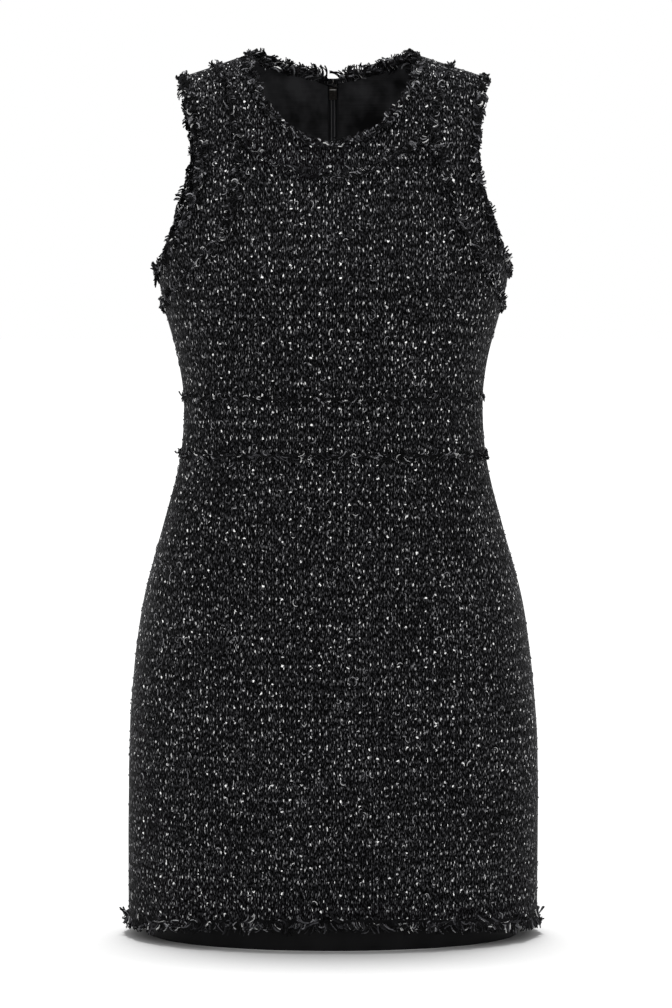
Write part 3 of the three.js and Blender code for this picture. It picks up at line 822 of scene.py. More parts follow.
def toned(tree: Tree, stops: tuple, level: Socket) -> Socket:
    """The colour of a ramp at a level."""
    return add_node(tree, "ShaderNodeValToRGB", {"ramp": stops}, {0: level}).outputs[0]


def bumped(tree: Tree, height: Socket, relief: float, strength: float) -> Socket:
    """A normal that follows a height, of which 1 stands for a relief in millimetres."""
    inputs = {"Height": height, "Distance": relief * MM, "Strength": strength}
    return add_node(tree, "ShaderNodeBump", inputs=inputs).outputs[0]


def in_cells(tree: Tree, cloth: Socket, across: float, down: float, move: float = 0.0) -> Socket:
    """The flat cloth's coordinates in cells of a size in millimetres.

    Args:
        tree: The node tree.
        cloth: The coordinates in metres.
        across: A cell's width.
        down: A cell's length.
        move: How many cells it is moved across; down it moves 1.7 times as many.

    Returns:
        The coordinates.
    """
    scale = (1 / (across * MM), 1 / (down * MM), 1)
    inputs = {"Vector": cloth, "Scale": scale, "Location": (move, 1.7 * move, 0)}
    return add_node(tree, "ShaderNodeMapping", inputs=inputs).outputs[0]


def flat_noise(tree: Tree, where: Socket, detail: float = 1.0) -> bpy.types.Node:
    """Soft noise with one bump to a cell."""
    inputs = {"Vector": where, "Scale": 1.0, "Detail": detail}
    return add_node(tree, "ShaderNodeTexNoise", {"noise_dimensions": "2D"}, inputs)


def centimetres_out(tree: Tree, place: Socket) -> Socket:
    """The distance to the left or right of the middle of the dress, in centimetres."""
    x = add_node(tree, "ShaderNodeSeparateXYZ", inputs={0: place}).outputs[0]
    return math_node(tree, "MULTIPLY", math_node(tree, "ABSOLUTE", x), 100.0)


@dataclass(frozen=True)
class Slub:
    """One of the tweed's yarns, as short upright dashes on a scattered lattice."""

    across: float  # mm between two dashes
    down: float  # mm between two rows
    radius: float  # of a dash, as a share of its cell
    bright: float  # of the palest dash
    power: float  # more leaves more of them dark


@dataclass(frozen=True)
class Boucle:
    """Boucle tweed: black wool and viscose woven loosely with slubbed grey yarns and white neps.

    The eye sees short upright dashes of grey, about 1 mm by 3 mm, where the slubbed warp comes up,
    in faint columns and rows, and scattered bright specks.
    """

    name: str = "boucle_tweed_woven"
    slubs: tuple[Slub, ...] = (
        Slub(3.35, 14.5, 0.1, 1.0, 1.3),
        Slub(3.35, 13.0, 0.1, 0.85, 1.2),
        Slub(1.675, 8.0, 0.18, 0.64, 1.1),
        Slub(1.675, 7.2, 0.18, 0.5, 1.1),
    )
    repeat: tuple[float, float] = (6.7, 12.4)  # mm, the weave's repeat across and down
    raised: tuple[float, float] = (0.8, 0.42)  # how much paler it is at the repeat's corner, middle
    grain: tuple[float, float] = (1.0, 2.8)  # mm, the ground's own dark yarns
    nep_spacing: float = 9.0  # mm
    cloud: float = 46.0  # mm, slow changes in the mix of the yarns
    relief: float = 0.5  # mm, how far the slubs stand up
    tones: tuple = (
        (0.0, "#020202"),
        (0.1, "#0c0c0d"),
        (0.3, "#28282a"),
        (0.54, "#666668"),
        (0.8, "#b0b0b1"),
        (1.0, "#fafaf8"),
    )

    def material(self) -> bpy.types.Material:
        """Makes the material."""
        material, tree = new_material(self.name)
        cloth = add_node(tree, "ShaderNodeUVMap", {"uv_map": "cloth"}).outputs[0]
        maths, scaled = partial(math_node, tree), partial(in_cells, tree, cloth)
        noise = partial(flat_noise, tree)

        def blobs(where: Socket, radius: float, scatter: float) -> tuple[Socket, Socket]:
            """A soft spot in each cell of a Voronoi texture, and a random number for it."""
            inputs = {"Vector": where, "Scale": 1.0, "Randomness": scatter}
            flat = {"voronoi_dimensions": "2D"}
            cells = add_node(tree, "ShaderNodeTexVoronoi", flat, inputs)
            rim, core = radius * 1.35, radius * 0.65
            fade = {0: cells.outputs["Distance"], 1: rim, 2: core, 3: 0.0, 4: 1.0}
            smooth = {"interpolation_type": "SMOOTHSTEP"}
            spot = add_node(tree, "ShaderNodeMapRange", smooth, fade)
            chance = add_node(tree, "ShaderNodeSeparateColor", inputs={0: cells.outputs["Color"]})
            return spot.outputs[0], chance.outputs[0]

        # The ground: dark yarns, seen between the slubs.
        ground = maths("SUBTRACT", noise(scaled(*self.grain), 1.0).outputs[0], 0.44)
        ground = maths("MULTIPLY", ground, 1.15, clamp=True)
        layers, heights = [ground], [maths("MULTIPLY", ground, 1.2)]
        # The slubs: a lattice for each yarn, whose columns slip up by a random length.
        for number, slub in enumerate(self.slubs):
            lattice = scaled(slub.across, slub.down, 11.0 * number)
            cell = add_node(tree, "ShaderNodeSeparateXYZ", inputs={0: lattice})
            column = maths("FLOOR", maths("ADD", cell.outputs[0], 0.25))
            slip = add_node(tree, "ShaderNodeTexWhiteNoise", {"noise_dimensions": "1D"})
            tree.links.new(column, slip.inputs["W"])
            shifted = maths("MULTIPLY_ADD", slip.outputs[0], 9.0, cell.outputs[1])
            slipped = {0: cell.outputs[0], 1: shifted}
            where = add_node(tree, "ShaderNodeCombineXYZ", inputs=slipped).outputs[0]
            spot, chance = blobs(where, slub.radius, 0.5)
            tone = maths("MULTIPLY", maths("POWER", chance, slub.power), slub.bright)
            layers.append(maths("MULTIPLY", spot, tone))
            heights.append(maths("MULTIPLY", spot, slub.across / 3))
        # The neps: specks on a coarse lattice that is bent a little.
        bent = noise(scaled(2.6, 2.6))
        wander = add_node(
            tree,
            "ShaderNodeVectorMath",
            {"operation": "MULTIPLY_ADD"},
            {0: bent.outputs["Color"], 1: (3.2 * MM, 3.2 * MM, 0), 2: cloth},
        )
        spaced_out = {"Vector": wander.outputs[0], "Scale": (1 / (self.nep_spacing * MM),) * 3}
        lattice = add_node(tree, "ShaderNodeMapping", inputs=spaced_out).outputs[0]
        spot, chance = blobs(lattice, 0.1, 1.0)
        kept = maths("MULTIPLY", maths("POWER", chance, 1.8), 1.3, clamp=True)
        layers.append(maths("MULTIPLY", spot, kept))
        heights.append(spot)
        bright, height = layers[0], heights[0]
        for tone, rise in zip(layers[1:], heights[1:]):
            bright, height = maths("MAXIMUM", bright, tone), maths("MAXIMUM", height, rise)
        # The weave: paler at the corner and the middle of each repeat, with slow clouds over it.
        place = add_node(tree, "ShaderNodeSeparateXYZ", inputs={0: scaled(*self.repeat, -0.125)})
        angles = [maths("MULTIPLY", place.outputs[k], 2 * math.pi) for k in (0, 1)]
        turns = [maths("COSINE", angle) for angle in angles]
        weave = maths("MULTIPLY_ADD", turns[1], 0.06, 0.8)
        for sign, share in zip((0.5, -0.5), self.raised):
            near = [maths("MULTIPLY_ADD", turn, sign, 0.5) for turn in turns]
            spot = maths("POWER", maths("MULTIPLY", *near), 2.0)
            weave = maths("MULTIPLY_ADD", spot, share, weave)
        clouds = noise(scaled(self.cloud, self.cloud), 2.0).outputs[0]
        mix = maths("MULTIPLY", weave, maths("MULTIPLY_ADD", clouds, 0.4, 0.8))
        finished(
            tree,
            {
                "Base Color": toned(tree, self.tones, maths("MULTIPLY", bright, mix)),
                "Roughness": 0.9,
                "Specular IOR Level": 0.01,
                "Sheen Weight": 0.065,
                "Sheen Roughness": 0.28,
                "Normal": bumped(tree, height, self.relief, 0.7),
            },
        )
        return material


@dataclass(frozen=True)
class FringeYarn:
    """Loose yarn ends of the tweed: black and charcoal wool with some grey and white slubs. Each
    strand keeps its own tone, with a little colour drawn off along it."""

    name: str = "wool_yarn_fringe"
    tones: tuple = (
        (0.0, "#060607"),
        (0.35, "#0e0e0f"),
        (0.6, "#202022"),
        (0.8, "#454548"),
        (0.93, "#818184"),
        (1.0, "#d4d4d2"),
    )
    ply: float = 0.9  # mm, the turns of the yarn's plies

    def material(self) -> bpy.types.Material:
        """Makes the material."""
        material, tree = new_material(self.name)
        yarn = add_node(tree, "ShaderNodeAttribute", {"attribute_name": "yarn"})
        place = add_node(tree, "ShaderNodeTexCoord").outputs["Object"]
        inputs = {"Vector": place, "Scale": 1 / (self.ply * MM), "Detail": 1.0}
        ply = add_node(tree, "ShaderNodeTexNoise", inputs=inputs).outputs[0]
        drawn_off = math_node(tree, "MULTIPLY_ADD", ply, 0.16, -0.08)
        level = math_node(tree, "ADD", yarn.outputs["Fac"], drawn_off)
        finished(
            tree,
            {
                "Base Color": toned(tree, self.tones, level),
                "Roughness": 0.92,
                "Specular IOR Level": 0.05,
                "Sheen Weight": 0.02,
                "Sheen Roughness": 0.5,
                "Normal": bumped(tree, ply, 0.3, 0.6),
            },
        )
        return material


@dataclass(frozen=True)
class Satin:
    """Acetate lining satin: black with a faint blue cast, a soft gloss, and fine drawn threads, with
    painted shade and highlight over soft creases. The facing round the neck and armholes, down to a
    seam across the back, is a duller twill, painted paler as painted light on the inside of the
    dress."""

    name: str = "acetate_satin_lining"
    tones: tuple = ((0.3, "#09090a"), (0.75, "#111112"))
    # The facing's tones, paler than the lining's: painted light on the inside of the neck and
    # armholes.
    facing_tones_painted_lighter: tuple = ((0.32, "#151516"), (0.7, "#3a3a3c"))
    facing_foot: float = -240.0  # mm, height of the facing's lower edge, below which the painted lighter tone stops
    stitched: tuple[float, float] = (21.5, 24.5)  # mm, from the centre, lines of sunk stitching
    stitched_half: float = 0.45  # mm, half their width
    stitched_foot: float = -42.0  # mm, height of their lower ends
    rib: float = 1.4  # mm, drawn coarser than the real weft so that it shows

    def material(self) -> bpy.types.Material:
        """Makes the material."""
        material, tree = new_material(self.name)
        cloth = add_node(tree, "ShaderNodeUVMap", {"uv_map": "cloth"}).outputs[0]

        def noise(across: float, down: float) -> Socket:
            """Noise on the cloth, with one bump to a cell of that size in millimetres."""
            return flat_noise(tree, in_cells(tree, cloth, across, down), 3.0).outputs[0]

        maths = partial(math_node, tree)
        # The creases noise gives darker and paler patches that are painted shade and highlight; the
        # same noise also gives the creases their relief.
        threads, crease_relief_and_painted_shade = noise(60, self.rib), noise(26, 40)
        level = maths("SUBTRACT", maths("MULTIPLY_ADD", threads, 0.16, crease_relief_and_painted_shade), 0.08)
        lower, upper = toned(tree, self.tones, level), toned(tree, self.facing_tones_painted_lighter, level)
        place = add_node(tree, "ShaderNodeSeparateXYZ", inputs={0: cloth})
        out, height = maths("ABSOLUTE", place.outputs[0]), place.outputs[1]
        lines = maths("GREATER_THAN", height, self.stitched_foot * MM)
        for distance in self.stitched:
            near = maths("COMPARE", out, distance * MM, self.stitched_half * MM)
            left_over = maths("MULTIPLY_ADD", maths("MULTIPLY", near, lines), -0.5, 1.0)
            level = maths("MULTIPLY", level, left_over)
        # Above the facing's foot the painted lighter facing tone takes over.
        share = add_node(
            tree,
            "ShaderNodeMapRange",
            inputs={0: height, 1: (self.facing_foot - 1) * MM, 2: self.facing_foot * MM},
        )
        tone = add_node(
            tree,
            "ShaderNodeMix",
            {"data_type": "RGBA"},
            {0: share.outputs[0], 6: lower, 7: upper},
        )
        finished(
            tree,
            {
                "Base Color": tone.outputs[2],
                "Roughness": 0.45,
                "Specular IOR Level": 0.07,
                "Normal": bumped(tree, level, 0.35, 0.35),
            },
        )
        return material


@dataclass(frozen=True)
class Tape:
    """Polyester zip tape, woven in fine upright ribs and dyed black, with a darker line beside the
    coil and paler ones outside that line and along the outer edge."""

    name: str = "polyester_zip_tape"
    rib: float = 0.9  # mm
    lines: tuple = (  # by the distance from the coil's middle, in centimetres
        (0.20, "#19191a"),
        (0.28, "#19191a"),
        (0.31, "#0b0b0c"),
        (0.36, "#2b2b2d"),
        (0.52, "#222224"),
        (0.60, "#2b2b2d"),
    )

    def material(self) -> bpy.types.Material:
        """Makes the material."""
        material, tree = new_material(self.name)
        place = add_node(tree, "ShaderNodeTexCoord").outputs["Object"]
        ribs = add_node(
            tree,
            "ShaderNodeTexWave",
            {"wave_type": "BANDS", "bands_direction": "X"},
            {"Vector": place, "Scale": 1 / (self.rib * MM * math.pi), "Distortion": 0.6},
        )
        finished(
            tree,
            {
                "Base Color": toned(tree, self.lines, centimetres_out(tree, place)),
                "Roughness": 0.8,
                "Specular IOR Level": 0.1,
                "Normal": bumped(tree, ribs.outputs["Fac"], 0.2, 0.7),
            },
        )
        return material


@dataclass(frozen=True)
class Nylon:
    """Nylon coil, drawn and heat set: matt charcoal, a little darker towards its sides, between the
    two rows of thread that sew it down, which are coloured pale as a painted highlight of the coil."""

    name: str = "nylon_zip_coil"
    lines: tuple = (  # by the distance from the coil's middle, in centimetres; the pale band on the rows of thread is a painted highlight
        (0.0, "#343436"),
        (0.13, "#28282a"),
        # painted highlight along the rows of thread
        (0.145, "#626264"),
        (0.2, "#626264"),
        (0.212, "#242426"),
    )

    def material(self) -> bpy.types.Material:
        """Makes the material."""
        material, tree = new_material(self.name)
        place = add_node(tree, "ShaderNodeTexCoord").outputs["Object"]
        tone = toned(tree, self.lines, centimetres_out(tree, place))
        finished(tree, {"Base Color": tone, "Roughness": 0.7, "Specular IOR Level": 0.03})
        return material


@dataclass(frozen=True)
class Gunmetal:
    """Die-cast zinc with a warm gunmetal plating, darker in the hollows and paler on the edges."""

    name: str = "gunmetal_plated_zinc"
    tones: tuple = ((0.6, "#2a2724"), (0.74, "#47433f"), (0.9, "#96938f"))  # hollows to edges
    metal: float = 0.75  # share of the light that it mirrors like bare metal

    def material(self) -> bpy.types.Material:
        """Makes the material."""
        material, tree = new_material(self.name)
        place = add_node(tree, "ShaderNodeTexCoord").outputs["Object"]
        inputs = {"Vector": place, "Scale": 420.0, "Detail": 4.0}
        mottling = add_node(tree, "ShaderNodeTexNoise", inputs=inputs).outputs[0]
        edges = add_node(tree, "ShaderNodeNewGeometry").outputs["Pointiness"]
        tone = toned(tree, self.tones, math_node(tree, "MULTIPLY_ADD", mottling, 0.35, edges))
        span = {"Value": mottling, 3: 0.28, 4: 0.45}
        rough = add_node(tree, "ShaderNodeMapRange", inputs=span).outputs[0]
        finished(tree, {"Base Color": tone, "Metallic": self.metal, "Roughness": rough})
        return material


@dataclass(frozen=True)
class Paper:
    """Seamless white studio paper under the dress, matt, with a barely visible tooth."""

    name: str = "seamless_paper"
    tones: tuple = ((0.0, "#bababa"), (1.0, "#bebebe"))

    def material(self) -> bpy.types.Material:
        """Makes the material."""
        material, tree = new_material(self.name)
        place = add_node(tree, "ShaderNodeTexCoord").outputs["Object"]
        inputs = {"Vector": place, "Scale": 300.0, "Detail": 1.0}
        tooth = add_node(tree, "ShaderNodeTexNoise", inputs=inputs).outputs[0]
        tone = toned(tree, self.tones, tooth)
        finished(tree, {"Base Color": tone, "Roughness": 1.0, "Specular IOR Level": 0.0})
        return material


# ---- Ease of the cloth ----------------------------------------------------------------------------


@dataclass(frozen=True)
class Trough:
    """A dart or crease: a soft groove between two points of the flat cloth.

    Its depth falls off across it as exp(-(d / width)^2) and fades out over its ends.
    """

    start: tuple[float, float]  # across, height
    end: tuple[float, float]
    depth: float
    width: float
    face: Face = Face.FRONT

    def drop(self, places: Array) -> Array:
        """How far the trough lowers the cloth at places.

        Args:
            places: Turns and heights.

        Returns:
            Depths in millimetres.
        """
        p = BODY.points(places)
        at = np.stack([p[..., 0], p[..., 2]], -1)
        a, b = np.array(self.start), np.array(self.end)
        t = ((at - a) @ (b - a)) / float((b - a) @ (b - a))
        away = np.linalg.norm(at - (a + np.clip(t, 0, 1)[..., None] * (b - a)), axis=-1)
        fade = np.clip(np.minimum(t + 0.05, (1.05 - t) * 1.3) * 3, 0, 1)
        on_side = (p[..., 1] < 0) == (self.face is Face.FRONT)
        return self.depth * np.exp(-((away / self.width) ** 2)) * fade * on_side


DARTS = tuple(
    Trough((side * foot, low), (side * head, high), depth, width, face)
    for side in (1, -1)
    for foot, low, head, high, depth, width, face in (
        (94, -322, 99, -262, 0.9, 2.6, Face.FRONT),
        (70, -376, 62, -520, 0.7, 4.0, Face.FRONT),
        (78, -322, 92, -230, 0.9, 2.6, Face.BACK),
        (66, -376, 60, -500, 0.9, 3.0, Face.BACK),
    )
)


CREASES = (  # of the lining, by the facing's seams and the zip
    Trough((22, -12), (22, -34), 1.2, 2.6, Face.BACK),
    Trough((28, -18), (66, -10), 1.2, 3.0, Face.BACK),
    Trough((17, -35), (23, -56), 1.3, 3.2, Face.BACK),
    Trough((-15.5, -34), (-14, -60), 1.2, 3.0, Face.BACK),
    Trough((-22, -30), (-66, -17), 1.2, 4.0, Face.BACK),
    Trough((-40, -52), (-62, -38), 1.2, 5.0, Face.BACK),
)


def ease(places: Array) -> Array:
    """How far the tweed stands off the body surface: slow waves of 0.55 mm, less the darts.

    Args:
        places: Turns and heights.

    Returns:
        Lifts in millimetres.
    """
    points = BODY.points(places)
    slow = 0.55 * waves(points, seed=5, scale=150.0) + 0.15 * waves(points, seed=6, scale=38.0)
    return slow - sum(dart.drop(places) for dart in DARTS)


# ---- Tweed ----------------------------------------------------------------------------------------


def towards(places: Array, others: Array, distance: Array | float) -> Array:
    """Places moved towards others by a distance in millimetres."""
    gap = np.linalg.norm(BODY.points(places) - BODY.points(others), axis=-1)
    return places + (others - places) * (distance / gap)[..., None]


def between(first: Array, second: Array, rows: int) -> Array:
    """A grid of places between two edges, in even steps from the first to the second."""
    share = np.linspace(0, 1, rows + 1)[:, None, None]
    return first * (1 - share) + second * share


PARTING = 0.5  # from a back edge to the centre line, over the zip
NOTCH_FOOT = -33.0  # height from which the back edges lean apart
NOTCH_LENGTH, NOTCH_HALF = 14.5, 4.5  # up the notch, and how far an edge has leant by then


def parting(z: Array) -> Array:
    """How far a back edge stands from the centre line: a fine parting over the zip, a notch above
    it and a plain seam below."""
    notch = NOTCH_HALF * np.maximum((z - NOTCH_FOOT) / NOTCH_LENGTH, 0)
    return np.where(z < ZIP_FOOT - 1, SEWN, PARTING + notch)


@dataclass(frozen=True)
class Panel:
    """A cut piece of tweed on the wearer's left or across the front, as a grid of places.

    The borders are those of its first and last rows and its first and last columns.
    """

    name: str
    grid: Array
    borders: tuple[Border, Border, Border, Border]
    close: tuple = (0, 0.12, 0.3, 0.6)  # extra lines near a border, in cells

    def drawn_in(self) -> Array:
        """The grid with its sewn borders drawn in by half a seam gap, its parted border moved clear
        of the zip with the last 12 columns, and extra lines near every border."""
        grid = self.grid.copy()
        top, foot, start, end = self.borders
        if end is Border.PARTED:
            columns = grid.shape[1]
            share = np.clip((np.arange(columns) - (columns - 13)) / 12, 0, 1)
            cell = np.linalg.norm(
                BODY.points(grid[:, -2]) - BODY.points(grid[:, -1]), axis=-1, keepdims=True
            )
            moved = np.arange(columns) - share * parting(grid[:, -1, 1])[:, None] / cell
            low = np.clip(np.floor(moved).astype(int), 0, columns - 2)
            part = (moved - low)[..., None]
            first = np.take_along_axis(grid, low[..., None], 1)
            second = np.take_along_axis(grid, low[..., None] + 1, 1)
            grid = first * (1 - part) + second * part
        elif end is Border.SEWN:
            grid[:, -1] = towards(grid[:, -1], grid[:, -2], SEWN)
        if start is Border.SEWN:
            grid[:, 0] = towards(grid[:, 0], grid[:, 1], SEWN)
        if top is Border.SEWN:
            grid[0] = towards(grid[0], grid[1], SEWN)
        if foot is Border.SEWN:
            grid[-1] = towards(grid[-1], grid[-2], SEWN)
        for axis in (0, 1):
            last = grid.shape[axis] - 1
            near = np.array(self.close)
            lines = np.concatenate([near, np.arange(1, last), (last - near)[::-1]])
            grid = at_indices(grid, lines, axis)
        return grid

    def lifts(self, grid: Array) -> Array:
        """How far the cloth stands off the body: its ease, less a roll of 0.9 exp(-(d / 1.6)^2)
        into the seams, where d is the distance to the nearest seam.

        Args:
            grid: The panel's places.

        Returns:
            Lifts in millimetres.
        """
        points = BODY.points(grid)
        down, over = lengths_along(points, 0), lengths_along(points, 1)
        away = (down, down[-1:] - down, over, over[:, -1:] - over)
        near = np.full(down.shape, 1e3)
        for border, distance in zip(self.borders, away):
            if border is not Border.RAW:
                near = np.minimum(near, distance)
        return ease(grid) - 0.9 * np.exp(-((near / 1.6) ** 2))

    def sheet(self, hand: Hand | None = None) -> Sheet:
        """The panel as a sheet of cloth.

        Args:
            hand: For a piece of a pair, which one.

        Returns:
            The sheet, not yet built.
        """
        grid = self.drawn_in()
        name = self.name if hand is None else f"{self.name}_{hand.value}"
        if hand is Hand.RIGHT:
            grid = mirror(grid)
        return Sheet(f"tweed_{name}", [grid], [self.lifts(grid)], TWEED)


def curls(sheet: Sheet, per_area: float, seed: int) -> tuple[Array, list[Array], Array]:
    """Loops of boucle yarn that stand out of the cloth: arcs of a circle lying on it, whose middle
    is raised by a half wave and whose ends dip into the ground.

    Args:
        sheet: The built cloth that they stand on.
        per_area: Loops on a square metre.
        seed: The seed of their random numbers.

    Returns:
        Vertices, faces and a tone for each vertex.
    """
    rng = np.random.default_rng(seed)
    count = int(per_area * sheet.cut()[1])
    at, out, over = sheet.scattered(count, rng)
    up = np.cross(out, over)
    s = np.linspace(0, 1, 7)
    large = rng.uniform(size=(count, 1)) < 0.22
    radius = np.where(large, rng.uniform(2.2, 4.4, (count, 1)), rng.uniform(0.7, 1.6, (count, 1)))
    turn = rng.uniform(0, 2 * np.pi, (count, 1)) + s * rng.uniform(1.3, 3.4, (count, 1))
    squash = rng.uniform(0.5, 1.0, (count, 1))
    a, b = radius * squash * np.cos(turn), radius * np.sin(turn)
    raised = -0.3 + rng.uniform(0.6, 1.1, (count, 1)) * np.sin(np.pi * s) ** 0.7
    paths = at[:, None] + over[:, None] * a[..., None] + up[:, None] * b[..., None]
    paths = paths + out[:, None] * raised[..., None]
    thick = rng.uniform(0.32, 0.5, (count, 1)) * (0.75 + 0.25 * np.sin(np.pi * s))
    points, faces = tubes(paths, thick, 3)
    tone = np.where(large[:, 0], rng.uniform(0.78, 0.97, count), rng.uniform(0.5, 1.0, count))
    return points, faces, np.repeat(tone, len(points) // count)


@dataclass
class Tweed:
    """The outer dress: bands round the neck and armholes, bodice, waistband and skirt."""

    skirt_rows: int = 80
    bodice_rows: int = 44
    band_rows: int = 12
    loops: float = 5200.0  # boucle loops on a square metre
    pieces: dict[str, bpy.types.Object] = field(default_factory=dict)

    def panels(self) -> list[tuple[Panel, tuple[Hand | None, ...], str]]:
        """The cut pieces, for which hands each is made, and what each hangs from."""
        left, right = FRONT[Hand.LEFT], FRONT[Hand.RIGHT]
        raw, sewn, parted = Border.RAW, Border.SEWN, Border.PARTED
        raw_top, raw_foot, around = (raw, sewn, sewn, sewn), (sewn, raw, sewn, sewn), (sewn,) * 4
        both, whole = (Hand.LEFT, Hand.RIGHT), (None,)
        band, bodice, skirt = self.band_rows, self.bodice_rows, self.skirt_rows

        def rear(first: Array, second: Array, rows: int) -> Array:
            """A grid between two edges of the front half, turned to the back."""
            return between(to_back(first), to_back(second), rows)

        neck = between(across(left.neck), across(left.neck_band), band)
        neck_back = rear(REAR.neck, REAR.neck_band, band)
        hole = between(left.armhole, left.armhole_band, band)
        other_hole = between(right.armhole, right.armhole_band, band)
        hole_back = rear(REAR.armhole, REAR.armhole_band, band)
        chest = between(across(left.bodice_top, right.bodice_top), across(WAIST_TOP), bodice)
        chest_back = rear(REAR.bodice_top, WAIST_TOP, bodice)
        waist = between(across(WAIST_TOP), across(WAIST_FOOT), band)
        waist_back = rear(WAIST_TOP, WAIST_FOOT, band)
        hips = between(across(WAIST_FOOT), across(HEM_FRONT), skirt)
        hips_back = rear(WAIST_FOOT, HEM_BACK, skirt)
        cut = [
            ("neck_band_front", neck, raw_top, whole, "lining_front"),
            ("neck_band_back", neck_back, (raw, sewn, sewn, parted), both, "neck_band_front"),
            ("armhole_band_front", hole, raw_top, (Hand.LEFT,), "neck_band_front"),
            ("armhole_band_front", other_hole, raw_top, (Hand.RIGHT,), "neck_band_front"),
            ("armhole_band_back", hole_back, raw_top, both, "neck_band_back"),
            ("bodice_front", chest, around, whole, "neck_band_front"),
            ("bodice_back", chest_back, (sewn, sewn, sewn, parted), both, "neck_band_back"),
            ("waistband_front", waist, around, whole, "bodice_front"),
            ("waistband_back", waist_back, (sewn, sewn, sewn, parted), both, "bodice_back"),
            ("skirt_front", hips, raw_foot, whole, "waistband_front"),
            ("skirt_back", hips_back, (sewn, raw, sewn, parted), both, "waistband_back"),
        ]
        return [(Panel(name, grid, ends), hands, above) for name, grid, ends, hands, above in cut]

    def build(self) -> None:
        cloth, yarn = Boucle().material(), FringeYarn().material()
        for number, (panel, hands, above) in enumerate(self.panels()):
            for hand in hands:
                sheet = panel.sheet(hand)
                piece = sheet.build()
                node = piece.name.removeprefix("tweed_")
                points, faces, tone = curls(sheet, self.loops, 100 + number * 2 + len(node) % 2)
                loops = make_piece(f"loops_{node}", points, faces, shade=tone)
                dress_piece(piece, cloth, "tweed", node)
                dress_piece(loops, yarn, "tweed")
                size, area = sheet.cut()
                self.pieces[node] = piece


def dress_piece(
    piece: bpy.types.Object,
    material: bpy.types.Material,
    slot: str,
    *nodes: str,
    body: str = "dress",
) -> None:
    """Gives a piece its material and body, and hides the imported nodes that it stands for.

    Args:
        piece: The piece.
        material: Its finish.
        slot: A material slot's name; not used.
        nodes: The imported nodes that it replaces.
        body: The body that it moves with.
    """
    piece.data.materials.append(material)
    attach(piece, body)
    if nodes:
        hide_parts(*nodes)
    LOG.info("%s: %d faces on %s", piece.name, len(piece.data.polygons), body)


# ---- Trims ----------------------------------------------------------------------------------------


